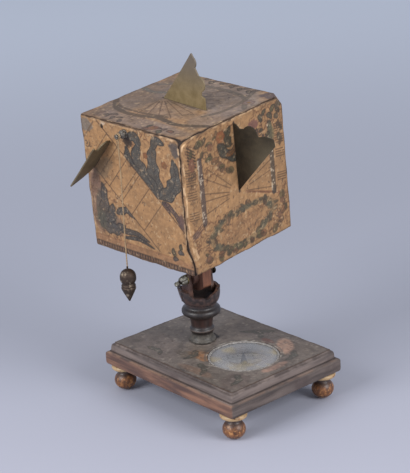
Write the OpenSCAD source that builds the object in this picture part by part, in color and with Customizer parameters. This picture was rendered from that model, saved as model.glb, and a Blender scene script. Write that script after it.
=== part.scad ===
// Cube sundial on a hinged stem, with a compass let into its moulded base.
// +X is the dial's north, -Y its east, +Z up. The origin is the middle of the base at the feet's soles.

/* [Base] */
// Length of the base, south to north
base_l = 106; // [100:1:126]
// Width of the base, east to west
base_w = 82; // [76:1:100]
// Thickness of the base board
base_h = 12.8; // [12:0.1:16]
// Height of the plain side below the moulding
side_h = 7.3; // [6:0.1:8]
// How far the moulding steps in from the side
mould_in = 3.9; // [3.6:0.1:6]
// Radius of the rounded arris above the plain side
arris_r = 0.9; // [0.5:0.1:1.1]
// Radius of the bead that runs round the moulding
bead_r = 0.5; // [0.3:0.05:0.6]
// Height and depth of the fillet below the top edge
fillet = 0.8; // [0.4:0.1:1]
// Thickness of the paper pasted on the board
base_paper_t = 0.2; // [0.1:0.05:0.4]
// Bare wood left round the paper
paper_margin = 0.5; // [0.2:0.1:2]

/* [Feet] */
// Height of a foot below the board
foot_h = 15.5; // [14:0.5:20]
// Distance of a foot's centre from the sides of the board
foot_in = 7.6; // [7.4:0.1:12]
// Radius of the collar under the board
collar_r = 7.3; // [6:0.1:7.4]
// Thickness of the collar
collar_h = 2.5; // [1.5:0.1:3.5]
// Radius of the dark neck between collar and ball
foot_neck_r = 3.9; // [2.5:0.1:4.5]
// Radius of the ball
ball_r = 6.2; // [5:0.1:7]
// Height of the ball
ball_h = 11.2; // [9:0.1:11.8]
// Radius of the tenon glued into the board
foot_tenon_r = 2.6; // [1.5:0.1:3.5]
// Length of the tenon
foot_tenon_h = 5; // [3:0.5:7]

/* [Compass] */
// Place of the compass along the base, north of the middle
compass_x = 19.1; // [14:0.1:24]
// Place of the compass across the base, west of the middle
compass_y = -0.5; // [-4:0.1:4]
// Outer radius of the ring that keeps the glass in
ring_r = 19.9; // [17:0.1:20]
// Width of the ring
ring_w = 1.2; // [0.8:0.1:2]
// Height of the ring
ring_h = 1; // [0.6:0.1:1.5]
// Thickness of the glass
glass_t = 1.2; // [0.8:0.1:1.6]
// Width of the ledge that the glass lies on
ledge_w = 1; // [0.6:0.1:2]
// Depth of the well below the glass
well_d = 5.8; // [5:0.1:6.5]
// Thickness of the compass card
card_t = 0.4; // [0.2:0.1:0.8]
// Radius of the steel pivot
pivot_r = 0.45; // [0.3:0.05:0.6]
// Height of the pivot above the card
pivot_h = 3.4; // [2.5:0.1:4]
// Length of the needle
needle_l = 31; // [20:1:34]
// Width of the needle at its middle
needle_w = 4.2; // [3.4:0.1:5]
// Thickness of the needle
needle_t = 0.4; // [0.3:0.1:0.6]
// Way the needle points, turned from the dial's north to the west
needle_turn = -41; // [-90:1:90]

/* [Column] */
// Place of the column along the base, north of the middle
col_x = -15.2; // [-24:0.1:-14]
// Radius of the flared foot
col_foot_r = 7.5; // [7:0.1:9]
// Radius of the neck
col_neck_r = 6.1; // [5:0.1:6.5]
// Radius of the bead on the neck
col_bead_r = 7; // [6.6:0.1:8]
// Radius of the torus under the cup
torus_r = 11; // [10:0.1:13]
// Radius of the cup at its rim
cup_r = 11.2; // [10.6:0.1:12.5]
// Radius of the waist between torus and cup
waist_r = 8.9; // [8:0.1:9.5]
// Wall of the cup
cup_wall = 1.7; // [1.2:0.1:2.2]
// Height of the rim above the board
rim_h = 31.7; // [31:0.1:33]
// Radius of the tenon in the board
col_tenon_r = 4.5; // [3:0.1:5]
// Length of the tenon in the board
col_tenon_h = 8; // [5:0.5:9]

/* [Hinge] */
// Height of the hinge bolt above the board
pin_rise = 38.8; // [38:0.1:42]
// Radius of the bolt
bolt_r = 1.2; // [0.9:0.05:1.3]
// Radius of the bolt's domed head
bolt_head_r = 2.1; // [1.8:0.1:2.6]
// Thickness of the bolt's head
bolt_head_h = 1.2; // [0.8:0.1:2]
// Inner face of an ear, from the middle of the column
ear_in = 6.6; // [5.5:0.1:7]
// Outer face of an ear, from the middle of the column
ear_out = 9.8; // [9:0.1:10.4]
// Radius of an ear's round top
ear_r = 2.8; // [2.5:0.1:4]
// Half width of an ear where it leaves the cup
ear_foot = 5; // [3.5:0.1:6]
// Radius of the leather washers
leather_r = 3.6; // [2.6:0.1:5]
// Radius of the brass washer
washer_r = 2.8; // [2.2:0.1:3.4]
// Thickness of the brass washer
washer_t = 0.5; // [0.3:0.1:1]
// Radius of the wing nut's hub
hub_r = 2.4; // [2:0.1:3]
// Length of the hub
hub_h = 3; // [2.4:0.1:4]
// Reach of a wing from the bolt's axis
wing_reach = 5.2; // [4.4:0.1:6.5]
// Thickness of a wing
wing_t = 1.2; // [0.8:0.1:1.8]
// Turn of the wings from upright
wing_turn = 38; // [0:1:90]

/* [Stem] */
// Width of the stem, south to north
stem_w = 13.4; // [11:0.1:14.4]
// Thickness of the stem, east to west
stem_t = 6.1; // [5:0.1:7]
// Radius of the stem's lower end about the bolt
stem_end_r = 8.3; // [7.8:0.1:8.6]
// Depth that the stem goes into the block
tenon_d = 18; // [10:1:30]

/* [Block] */
// Side of the block over its papers
block_s = 75; // [70:1:84]
// Height of the block's underside above the bolt
block_rise = 24.5; // [22:0.5:32]
// Where the block's middle sits, north of the stem
block_dx = -1.1; // [-2:0.1:2]
// Where the block's middle sits, west of the stem
block_dy = -1.1; // [-2:0.1:2]
// Twist of the block on its stem, as it stands
block_yaw = 4.1; // [0:0.1:5]
// Tilt of the block to the north, as it stands
block_tilt = 1.2; // [0:0.1:3]
// Lean of the block to the east, as it stands
block_lean = 4.6; // [0:0.1:5]
// Bevel of the wood's edges
block_bevel = 0.7; // [0.3:0.1:1.5]
// How far wear has taken the block's corners back
corner_wear = 1.6; // [0.8:0.1:2.2]
// How far the knocked corner is taken back, at the top to the north and west
knocked_wear = 3.4; // [2.3:0.1:4]
// Thickness of a dial paper
paper_t = 0.3; // [0.1:0.05:0.5]
// How far a dial paper stops short of the edges
paper_in = 0.4; // [0.2:0.05:1]
// Height of the triangle lost from the north paper's lower corner
tear_h = 9; // [4:0.5:12]
// Width of that triangle
tear_w = 2.6; // [1:0.1:4]

/* [Gnomons] */
// Latitude that the dials are drawn for
latitude = 49; // [46:0.5:52]
// Thickness of the brass plates
plate_t = 0.8; // [0.5:0.1:1.2]
// Place of the top plate, west of the face's middle
top_y = 2.5; // [-4:0.1:4]
// Height of the top plate's tip above the paper
top_tip = 30.3; // [27:0.1:34]
// South end of the top plate, from the middle of the face
top_start = -15.4; // [-18:0.1:-12]
// Length of the top plate's foot
top_foot = 34.4; // [33:0.1:37]
// Reach of the north plate's tip from the paper
north_tip = 24.4; // [22:0.1:28]
// Height of the north plate's root
north_root = 38.3; // [37.5:0.1:40]
// Lowest point of the north plate, from the middle of the face
north_foot = -3.7; // [-6:0.1:0]
// Length of the east and west plates' roots
side_root = 23.2; // [21:0.1:27]
// Reach of the east and west plates from the paper
side_reach = 11.8; // [10.6:0.1:14]
// Lowest point of the east plate's root, north of the face's middle
side_x = -31.7; // [-33:0.1:-28]
// Lowest point of the east plate's root, above the face's middle
side_z = 9.1; // [6:0.1:10]
// Depth that a plate's tang is driven into the wood
tang_d = 4.5; // [3:0.5:8]
// How far a tang stops short of its plate's ends
tang_in = 3; // [2:0.1:5]
// Turn of the bent top plate
top_turn = -4; // [-6:1:6]
// Turn of the bent north plate
north_turn = 12; // [0:1:14]

/* [Plumb line] */
// Place of the peg, north of the east face's middle
peg_x = -4; // [-6:0.1:10]
// Height of the peg above the east face's middle
peg_z = 33.5; // [30:0.1:34]
// Reach of the peg out of the face
peg_out = 7; // [6:0.5:9]
// Radius of the peg's head
peg_r = 1.5; // [1.3:0.1:2.2]
// Radius of the groove that the thread hangs in
groove_r = 0.9; // [0.6:0.1:1]
// Depth of the peg in the wood
peg_d = 7; // [4:0.5:12]
// Place of the empty second peg hole, north of the east face's middle
spare_x = -21.4; // [-30:0.1:-14]
// Height of that hole above the face's middle
spare_z = 34.3; // [31:0.1:34.6]
// Depth of that hole
spare_d = 4; // [2:0.5:8]
// Radius of the empty second peg hole
spare_hole_r = 0.7; // [0.4:0.1:1]
// Diameter of the thread
thread_d = 0.7; // [0.5:0.05:0.9]
// Drop from the peg's axis to the top of the bob's eye
drop = 72; // [70:0.5:80]
// Radius of the bob's dome
bob_r = 4.45; // [4.2:0.05:5.5]
// Length of the bob below its eye
bob_h = 18.6; // [17:0.2:24]
// Height of the bob's eye
eye_h = 1.6; // [1:0.1:3]

/* [Hidden] */
$fn = 48;

seat = 0.1;        // gap under a plate's foot and under the peg's shoulder
glue_gap = 0.05;   // room for glue round a tenon, a tang or a pressed pin
run_gap = 0.05;    // running clearance round a pivot or the bolt
face_gap = 0.05;   // room between faces that rub
loop_gap = 0.12;   // room between the thread's loop and the peg, which leans with the block
hang_gap = 0.3;    // room between the loop and the line that swings from it

board_z = foot_h + base_h;
paper_z = board_z + base_paper_t;
foot_x = base_l / 2 - foot_in;
foot_y = base_w / 2 - foot_in;
quirk = 0.35;
foot_cove = 1.2;
sole_r = 1.7;
hole_play = 0.5;
sole_in = 0.5;
bead_d = arris_r + quirk + bead_r;
ovolo_d = bead_d + bead_r;

// The glass lies on a ledge, and the ring holds it down.
ring_proud = 0.15;
rebate_r = ring_r + glue_gap;
glass_r = ring_r - glue_gap;
well_r = ring_r - ledge_w;
glass_z = paper_z + ring_proud - ring_h - glass_t;
well_z = glass_z - well_d;
card_z = well_z + card_t;
card_r = well_r - glue_gap;
pivot_root = 1.5;
cap_r = 1.5;
cap_h = 1.5;
cap_neck_r = 1.1;
cap_neck_h = 0.8;
cap_dome = 0.3;
cap_cover = 1;
point_h = 0.7;
ring_edge = 0.4;
cap_z = card_z + pivot_h - cap_cover;
needle_z = cap_z + cap_neck_h - needle_t;

// Heights on the column, above the board
foot_edge = 0.7;
flare_h = 4.6;
bead_low = 5.1;
bead_h = 3;
neck_low = 10.5;
neck_up = 14;
neck_top = 15;
neck_top_r = col_neck_r + 0.7;
neck_lip = 0.7;
torus_m = 2.35;
torus_h = 18;
fillet_h = torus_h + torus_m + 0.5;
fillet_top = fillet_h + 0.4;
fillet_w = 0.4;
waist_h = 23;
rim_in = 0.15;
cup_turn_h = 29.8;
cup_floor = 25;
cup_in_r = cup_r - cup_wall;
pin_z = board_z + pin_rise;
scoop_r = stem_end_r + 0.7;
scoop_side = 0.4;
thread_proud = 1.4;
thread_end = ear_out + washer_t + hub_h + thread_proud;
ear_step = 0.4;
ear_side = 0.6;
bolt_point = 0.4;
hub_edge = 0.8;
hub_taper = 0.5;
wing_r = 1.9;
wing_root = 0.4;
leather_t = ear_in - stem_t / 2 - 2 * face_gap;

// Where the block stands, and a point of the block in the row's own frame
block_at = [col_x + block_dx, block_dy, pin_z + block_rise];
core_s = block_s - 2 * paper_t;
mid = block_s / 2;
function turn_x(p, a) = [p.x, p.y * cos(a) - p.z * sin(a), p.y * sin(a) + p.z * cos(a)];
function turn_y(p, a) = [p.x * cos(a) + p.z * sin(a), p.y, -p.x * sin(a) + p.z * cos(a)];
function turn_z(p, a) = [p.x * cos(a) - p.y * sin(a), p.x * sin(a) + p.y * cos(a), p.z];
function on_block(p) = block_at + turn_z(turn_y(turn_x(p, block_lean), block_tilt), block_yaw);

// The groove near the peg's outer end, where the line hangs
groove_out = peg_out - 1.6;
groove_w = 1.4;
groove_lip = 0.3;
ring_at = 1.5;
hang = on_block([peg_x, -mid - groove_out, mid + peg_z]);
loop_in_r = groove_r + loop_gap;
loop_mid_r = loop_in_r + thread_d / 2;
loop_low = loop_mid_r + thread_d / 2;
bob_z = hang.z - drop;

// The thread's route below the peg: sideways drift and depth, in mm
thread_route = [[0, 0, 0], [0.1, 0, 10], [0.2, 0.1, 20], [0.1, 0.1, 30], [0, 0, 40], [-0.1, 0, 50],
    [-0.1, -0.1, 60], [0, 0, 70], [0, 0, 80]];
thread_rings = 40;
thread_sides = 8;

// The bob, as drops below its dome
eye_r = 0.45;
tip_edge = 0.15;
dome_h = 4.2;
bob_step = 0.3;
under_r = 1.3;
ring_low = 2.2;
waist_low = 4.4;
cone_bulge = 4;
bulge_h = 3;
bulge_low = 7.4;
tip_r = 0.7;

function arc(c, rx, ry, a0, a1, n) =
    [for (i = [0 : n]) let (a = a0 + (a1 - a0) * i / n) [c.x + rx * cos(a), c.y + ry * sin(a)]];

// Shapes of the base

// Moulded edge as distance in from the side and height
function edge_profile() = concat(
    [[sole_in, 0], [0, sole_in]],
    arc([arris_r, side_h - arris_r], arris_r, arris_r, 180, 90, 4),
    [[bead_d - bead_r, side_h]],
    arc([bead_d, side_h], bead_r, bead_r, 180, 0, 6),
    arc([mould_in - fillet, side_h + bead_r], mould_in - fillet - ovolo_d,
        base_h - fillet - side_h - bead_r, 180, 90, 5),
    [[mould_in, base_h - fillet], [mould_in, base_h]]);

module moulded_bar(width, length) {
    half = [for (p = edge_profile()) [width / 2 - p.x, p.y]];
    other = [for (i = [len(half) - 1 : -1 : 0]) [-half[i].x, half[i].y]];
    rotate([90, 0, 90]) linear_extrude(length, center = true) polygon(concat(half, other));
}

module base_board() color("#4a352a") difference() {
    translate([0, 0, foot_h]) intersection() {
        moulded_bar(base_w, base_l + 2);
        rotate([0, 0, 90]) moulded_bar(base_l, base_w + 2);
    }
    for (sx = [-1, 1], sy = [-1, 1]) translate([sx * foot_x, sy * foot_y, foot_h - 1])
        cylinder(r = foot_tenon_r + glue_gap, h = foot_tenon_h + 1 + glue_gap);
    translate([col_x, 0, board_z - col_tenon_h - glue_gap])
        cylinder(r = col_tenon_r + glue_gap, h = col_tenon_h + 1);
    translate([compass_x, compass_y, 0]) {
        translate([0, 0, glass_z]) cylinder(r = rebate_r, h = base_h, $fn = 96);
        translate([0, 0, well_z]) cylinder(r = well_r, h = base_h, $fn = 96);
        translate([0, 0, well_z - pivot_root]) cylinder(r = pivot_r + glue_gap, h = base_h);
    }
}

module base_paper() color("#8f8474") translate([0, 0, board_z]) linear_extrude(base_paper_t) difference() {
    square([base_l - 2 * (mould_in + paper_margin), base_w - 2 * (mould_in + paper_margin)], center = true);
    translate([col_x, 0]) circle(r = col_foot_r + hole_play);
    translate([compass_x, compass_y]) circle(r = rebate_r, $fn = 96);
}

// A turned foot, with its tenon up in the board
module ball_foot(sx, sy) color("#b9813f") translate([sx * foot_x, sy * foot_y, 0]) {
    ball_mid = ball_h / 2;
    collar_mid = foot_h - collar_h / 2;
    rotate_extrude() polygon(concat(
        [[0, 0], [sole_r, 0]],
        arc([0, ball_mid], ball_r, ball_mid, -70, 48, 14),
        [[foot_neck_r, foot_h - collar_h - foot_cove], [foot_neck_r, foot_h - collar_h]],
        arc([collar_r - collar_h / 2, collar_mid], collar_h / 2, collar_h / 2, -90, 90, 6),
        [[foot_tenon_r, foot_h], [foot_tenon_r, foot_h + foot_tenon_h], [0, foot_h + foot_tenon_h]]));
}

// Shapes of the compass

module compass_card() color("#cfc9b4") translate([compass_x, compass_y, well_z]) difference() {
    cylinder(r = card_r, h = card_t, $fn = 96);
    translate([0, 0, -1]) cylinder(r = pivot_r + glue_gap, h = 3);
}

module compass_pivot() color("#70747a") translate([compass_x, compass_y, well_z - pivot_root])
    rotate_extrude() polygon([[0, 0], [pivot_r, 0], [pivot_r, pivot_root + card_t + pivot_h - point_h],
        [0, pivot_root + card_t + pivot_h]]);

module compass_glass() color("#b8c4cc", 0.4) translate([compass_x, compass_y, glass_z])
    cylinder(r = glass_r, h = glass_t, $fn = 96);

module compass_ring() color("#b9b4a4") translate([compass_x, compass_y, glass_z + glass_t])
    rotate_extrude($fn = 96) polygon([[ring_r - ring_w, 0], [ring_r, 0], [ring_r, ring_h - ring_edge],
        [ring_r - ring_edge, ring_h], [ring_r - ring_w + ring_edge, ring_h],
        [ring_r - ring_w, ring_h - ring_edge]]);

// A lozenge with a round seat for its cap
module compass_needle() color("#2c3a55") translate([compass_x, compass_y, needle_z])
    rotate([0, 0, needle_turn]) linear_extrude(needle_t) difference() {
        union() {
            polygon([[needle_l / 2, 0], [0, needle_w / 2], [-needle_l / 2, 0], [0, -needle_w / 2]]);
            circle(r = cap_r + cap_dome);
        }
        circle(r = cap_neck_r + glue_gap);
    }

// The cap has a blind bore that drops over the pivot
module needle_cap() color("#b08d45") translate([compass_x, compass_y, cap_z]) difference() {
    rotate_extrude() polygon([[0, 0], [cap_neck_r, 0], [cap_neck_r, cap_neck_h], [cap_r, cap_neck_h],
        [cap_r, cap_h - cap_dome], [cap_r / 2, cap_h + cap_dome], [0, cap_h + cap_dome]]);
    translate([0, 0, -1]) cylinder(r = pivot_r + run_gap, h = 1 + cap_cover + face_gap);
}

// The column is one turning, and its head is cut to a fork
module column() color("#3a2219") difference() {
    translate([col_x, 0, board_z]) {
        rotate_extrude($fn = 72) polygon(concat(
            [[0, -col_tenon_h], [col_tenon_r, -col_tenon_h], [col_tenon_r, 0], [col_foot_r, 0],
                [col_foot_r, foot_edge]],
            arc([col_foot_r, flare_h], col_foot_r - col_neck_r, flare_h - foot_edge, 270, 180, 5),
            [[col_neck_r, bead_low]],
            arc([col_neck_r, bead_low + bead_h / 2], col_bead_r - col_neck_r, bead_h / 2, -90, 90, 8),
            [[col_neck_r, neck_low], [neck_top_r, neck_up], [neck_top_r + neck_lip, neck_top],
                [neck_top_r + neck_lip, torus_h - torus_m]],
            arc([torus_r - torus_m, torus_h], torus_m, torus_m, -90, 90, 10),
            [[waist_r + fillet_w, fillet_h], [waist_r, fillet_top], [waist_r, waist_h]],
            arc([waist_r, cup_turn_h], cup_r - waist_r, cup_turn_h - waist_h, -90, 0, 6),
            [[cup_r - rim_in, rim_h], [cup_in_r, rim_h], [cup_in_r, cup_turn_h]],
            arc([0, cup_turn_h], cup_in_r, cup_turn_h - cup_floor, 0, -90, 7)));
        for (side = [-1, 1]) ear(side);
    }
    translate([col_x, 0, pin_z]) rotate([90, 0, 0]) {
        cylinder(r = bolt_r + glue_gap, h = 4 * cup_r, center = true);
        intersection() {
            rotate([0, 90, 0]) cylinder(r = scoop_r, h = 4 * cup_r, center = true);
            cube([4 * cup_r, 4 * cup_r, 2 * (ear_in - scoop_side)], center = true);
        }
    }
}

// One ear of the fork: it rises from the cup's floor, tapers, and is round about the bolt
module ear(side) intersection() {
    translate([0, side * (ear_in + ear_out) / 2, 0]) rotate([90, 0, 0])
        linear_extrude(ear_out - ear_in, center = true)
        polygon(concat([[-ear_foot, cup_floor - ear_step], [ear_foot, cup_floor - ear_step],
            [ear_foot - ear_step, rim_h - ear_side]], arc([0, pin_rise], ear_r, ear_r, -12, 192, 16),
            [[-ear_foot + ear_step, rim_h - ear_side]]));
    cylinder(r = cup_r - ear_side, h = pin_rise + ear_r + 1, $fn = 72);
}

// Shapes of the hinge; these sit on the bolt's axis, with local +Z to the east

module on_bolt() translate([col_x, 0, pin_z]) rotate([90, 0, 0]) children();

module hinge_bolt() color("#a98a4c") on_bolt() rotate_extrude() polygon(concat(
    arc([0, -ear_out - bolt_head_h / 2], bolt_head_r, bolt_head_h, -90, 0, 5),
    [[bolt_head_r, -ear_out], [bolt_r, -ear_out], [bolt_r, thread_end - bolt_point],
        [bolt_r - bolt_point, thread_end], [0, thread_end]]));

module bolt_washer() color("#a98a4c") on_bolt() translate([0, 0, ear_out]) difference() {
    cylinder(r = washer_r, h = washer_t);
    translate([0, 0, -1]) cylinder(r = bolt_r + glue_gap, h = washer_t + 2);
}

module friction_washers() color("#3d2a1e") on_bolt() for (side = [-1, 1])
    translate([0, 0, side * (stem_t + leather_t + 2 * face_gap) / 2]) difference() {
        cylinder(r = leather_r, h = leather_t, center = true);
        cylinder(r = bolt_r + glue_gap, h = leather_t + 2, center = true);
    }

// Hub with a bore for the bolt, and two flaring round wings
module wing_nut() color("#b3954f") on_bolt() translate([0, 0, ear_out + washer_t + face_gap]) difference() {
    union() {
        rotate_extrude()
            polygon([[0, 0], [hub_r, 0], [hub_r, hub_edge], [hub_r - hub_taper, hub_h], [0, hub_h]]);
        rotate([0, 0, wing_turn]) for (side = [0, 180]) rotate([0, 0, side]) rotate([90, 0, 90])
            linear_extrude(wing_t, center = true) difference() {
                union() {
                    translate([wing_reach - wing_r, hub_h]) circle(r = wing_r);
                    polygon([[0, wing_root], [hub_r - hub_taper, wing_root],
                        [wing_reach - wing_root, hub_h - wing_t], [wing_reach - wing_r, hub_h + wing_r],
                        [0, hub_h - wing_root]]);
                }
                translate([-hub_r, -1]) square([hub_r, 3 * hub_h]);
            }
    }
    translate([0, 0, -1]) cylinder(r = bolt_r + run_gap, h = hub_h + 4);
}

// The stem: a flat bar, round about the bolt below, and long enough above to go into the block
module stem_outline(extra) intersection() {
    translate([-stem_w / 2 - extra, -stem_end_r])
        square([stem_w + 2 * extra, stem_end_r + block_rise + tenon_d + extra]);
    union() {
        circle(r = stem_end_r, $fn = 96);
        translate([-stem_w / 2 - extra, 0]) square([stem_w + 2 * extra, block_rise + tenon_d + extra]);
    }
}

module tongue() color("#7a4a30") on_bolt() difference() {
    linear_extrude(stem_t, center = true) stem_outline(0);
    cylinder(r = bolt_r + run_gap, h = stem_t + 2, center = true);
}

module mortise() on_bolt() linear_extrude(stem_t + 2 * glue_gap, center = true) stem_outline(glue_gap);

// Shapes of the block, in its own frame: its middle is on the Z axis and its underside at Z = 0

module on_stem() translate(block_at) rotate([block_lean, block_tilt, block_yaw]) children();

function bevelled(w, h, b) = [[-w / 2 + b, 0], [w / 2 - b, 0], [w / 2, b], [w / 2, h - b], [w / 2 - b, h],
    [-w / 2 + b, h], [-w / 2, h - b], [-w / 2, b]];

module core() {
    core_h = block_s - paper_t;
    side = bevelled(core_s, core_h, block_bevel);
    intersection() {
        rotate([90, 0, 0]) linear_extrude(core_s, center = true) polygon(side);
        rotate([90, 0, 90]) linear_extrude(core_s, center = true) polygon(side);
        translate([0, -core_s / 2, 0]) linear_extrude(core_h) polygon(bevelled(core_s, core_s, block_bevel));
    }
}

// Wear rounds the corners about the block's middle, and has taken one further back than the rest
module worn() difference() {
    reach = mid * sqrt(3);
    intersection() {
        children();
        translate([0, 0, mid]) sphere(r = reach - corner_wear, $fn = 96);
    }
    translate([0, 0, mid]) difference() {
        translate([mid / 2, mid / 2, mid / 2]) cube(mid);
        sphere(r = reach - knocked_wear, $fn = 96);
    }
}

module cube_block() color("#6b4a30") difference() {
    on_stem() difference() {
        worn() core();
        all_slots();
        peg_hole();
        spare_hole();
    }
    mortise();
}

module on_face(turn) translate([0, 0, mid]) rotate(turn) translate([0, 0, mid - paper_t]) children();

module sheet() linear_extrude(paper_t) square(2 * (mid - paper_in), center = true);

module paper_top() color("#9a8363") on_stem() difference() {
    worn() on_face([0, 0, 0]) sheet();
    all_slots();
}

module paper_north() color("#b0905f") on_stem() difference() {
    worn() on_face([90, 0, 90]) difference() {
        sheet();
        translate([-mid, -mid, -1]) linear_extrude(3)
            polygon([[-1, -1], [paper_in + tear_w, -1], [paper_in, tear_h], [-1, tear_h]]);
    }
    all_slots();
}

module paper_east() color("#b8946a") on_stem() difference() {
    worn() on_face([90, 0, 0]) sheet();
    all_slots();
    peg_hole();
    spare_hole();
}

module paper_south() color("#b0905f") on_stem() difference() {
    worn() on_face([90, 0, -90]) sheet();
    all_slots();
}

module paper_west() color("#b8946a") on_stem() difference() {
    worn() on_face([90, 0, 180]) sheet();
    all_slots();
}

// Shapes of the gnomons: outlines as distance along or out of the face, and height or reach

function top_outline() = concat([[0, 0], [top_tip / tan(latitude), top_tip]],
    arc([top_tip / tan(latitude) - 0.6, top_tip - 5], 3.7, 3.7, 55, -48, 6),
    arc([top_foot - 4.1, 14], 4.3, 4.3, 95, -72, 9),
    [[top_foot - 3.2, 7.7], [top_foot - 0.4, 6.7], [top_foot, 0]]);

function north_outline() = concat([[0, 0], [north_tip, north_tip * tan(latitude)]],
    arc([north_tip - 1.2, north_tip * tan(latitude) + 3], 1.2, 1.2, 0, 70, 3),
    arc([north_tip - 5, north_tip * tan(latitude) + 2.4], 2.9, 2.9, 60, 115, 3),
    [[north_tip - 9, north_tip * tan(latitude) + 4.5]],
    arc([10.4, north_root - 4.4], 4.2, 4.2, -5, 150, 8),
    [[4, north_root - 2.6], [2, north_root - 0.3], [0, north_root]]);

function side_outline() = concat([[0, 0], [-11.2, side_reach - 1]],
    [[-11.4, side_reach], [side_root - 1.6, side_reach + 0.2], [side_root - 0.8, side_reach - 0.2]],
    arc([side_root - 0.6, side_reach - 3.8], 2.9, 2.9, 95, 200, 5),
    arc([side_root - 1.8, 3.4], 4.2, 4.2, 68, 0, 5), [[side_root, 0]]);

// A plate stands a hair off the paper, and its tang goes down into the slot
module plate(outline, root) linear_extrude(plate_t, center = true) polygon(concat(outline,
    [[root - tang_in, 0], [root - tang_in, -tang_d], [tang_in, -tang_d], [tang_in, 0]]));

module slot(root) translate([tang_in - glue_gap, -tang_d - glue_gap, -plate_t / 2 - glue_gap])
    cube([root - 2 * (tang_in - glue_gap), tang_d + 1, plate_t + 2 * glue_gap]);

module at_top() translate([top_start, top_y, block_s + seat]) rotate([0, 0, top_turn]) rotate([90, 0, 0])
    children();
module at_north() translate([mid + seat, 0, mid + north_foot]) rotate([0, 0, north_turn]) rotate([90, 0, 0])
    children();
module at_south() translate([0, 0, mid]) rotate([0, 180, 0]) translate([0, 0, -mid]) at_north() children();
module at_east() translate([side_x, -mid - seat, mid + side_z]) rotate([0, -latitude, 0]) mirror([0, 1, 0])
    children();
module at_west() mirror([0, 1, 0]) at_east() children();

// The north and south plates have their roots upright, so the tang points the other way
module north_plate() linear_extrude(plate_t, center = true) polygon(concat(north_outline(),
    [[0, north_root - tang_in], [-tang_d, north_root - tang_in], [-tang_d, tang_in], [0, tang_in]]));

module all_slots() {
    at_top() slot(top_foot);
    at_east() slot(side_root);
    at_west() slot(side_root);
    at_north() north_slot();
    at_south() north_slot();
}

module north_slot() translate([-tang_d - glue_gap, tang_in - glue_gap, -plate_t / 2 - glue_gap])
    cube([tang_d + 1, north_root - 2 * (tang_in - glue_gap), plate_t + 2 * glue_gap]);

module gnomon_top() color("#a08a45") on_stem() at_top() plate(top_outline(), top_foot);
module gnomon_north() color("#6e6138") on_stem() at_north() north_plate();
module gnomon_south() color("#6e6138") on_stem() at_south() north_plate();
module gnomon_east() color("#6e6138") on_stem() at_east() plate(side_outline(), side_root);
module gnomon_west() color("#6e6138") on_stem() at_west() plate(side_outline(), side_root);

// Shapes of the plumb line

module peg_place() translate([peg_x, -mid, mid + peg_z]) rotate([90, 0, 0]) children();
module peg_hole() peg_place() translate([0, 0, -peg_d - glue_gap])
    cylinder(r = groove_r + glue_gap, h = peg_d + 2);
module spare_hole() translate([spare_x, -mid, mid + spare_z]) rotate([90, 0, 0]) translate([0, 0, -spare_d])
    cylinder(r = spare_hole_r, h = spare_d + 2);

module plumb_peg() color("#8a8478") on_stem() peg_place() rotate_extrude() polygon(concat(
    [[0, -peg_d], [groove_r, -peg_d], [groove_r, seat], [peg_r, seat], [peg_r, ring_at - groove_lip],
        [peg_r - groove_lip, ring_at], [peg_r, ring_at + groove_lip],
        [peg_r, groove_out - groove_w / 2 - groove_lip], [groove_r, groove_out - groove_w / 2],
        [groove_r, groove_out + groove_w / 2]],
    arc([0, groove_out + groove_w / 2 + seat], peg_r, peg_out - groove_out - groove_w / 2 - seat, 0, 90, 6)));

module thread_loop() color("#cdbfa2") translate(hang) rotate([90, 0, 0]) rotate_extrude()
    translate([loop_mid_r, 0]) circle(r = thread_d / 2, $fn = 16);

// Where the thread is at a depth, easing from each point of its route to the next
function route_at(d) = let (last = len(thread_route) - 2,
    i = max([for (k = [0 : last]) if (thread_route[k].z <= d) k]),
    a = thread_route[i], b = thread_route[i + 1], t = (d - a.z) / (b.z - a.z), s = t * t * (3 - 2 * t))
    [a.x + (b.x - a.x) * s, a.y + (b.y - a.y) * s];

module plumb_thread() color("#cdbfa2") {
    top = loop_low + hang_gap;
    ring = [for (i = [0 : thread_rings]) let (d = top + (drop - top) * i / thread_rings, p = route_at(d))
        for (j = [0 : thread_sides - 1]) let (a = 360 * j / thread_sides)
            [hang.x + p.x + thread_d / 2 * cos(a), hang.y + p.y + thread_d / 2 * sin(a), hang.z - d]];
    last = thread_rings * thread_sides;
    polyhedron(ring, concat(
        [for (i = [0 : thread_rings - 1], j = [0 : thread_sides - 1])
            let (a = i * thread_sides, b = a + thread_sides, k = (j + 1) % thread_sides)
            each [[a + j, a + k, b + j], [a + k, b + k, b + j]]],
        [[for (j = [thread_sides - 1 : -1 : 0]) j]],
        [[for (j = [0 : thread_sides - 1]) last + j]]));
}

// The bob is turned like an acorn: an eye, a dome, a ring and a cone
module plumb_bob() color("#5c4f38") translate([hang.x, hang.y, bob_z]) {
    dome_z = -eye_h - dome_h;
    cone_r = bob_r - bob_step;
    rotate_extrude() polygon(concat(
        [[0, 0], [eye_r, 0], [eye_r + tip_edge, -eye_r], [eye_r, -2 * eye_r], [eye_r, -eye_h]],
        arc([0, dome_z], bob_r, dome_h, 84, 0, 8),
        arc([bob_r - under_r, dome_z], under_r, under_r, 0, -65, 3),
        [[cone_r, dome_z - ring_low], [cone_r, dome_z - ring_low - tip_r],
            [cone_r - bob_step, dome_z - waist_low]],
        arc([cone_r - cone_bulge, dome_z - bulge_low], cone_bulge, bulge_h, 55, -30, 6),
        [[tip_r, tip_r - eye_h - bob_h], [0, -eye_h - bob_h]]));
}

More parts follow.
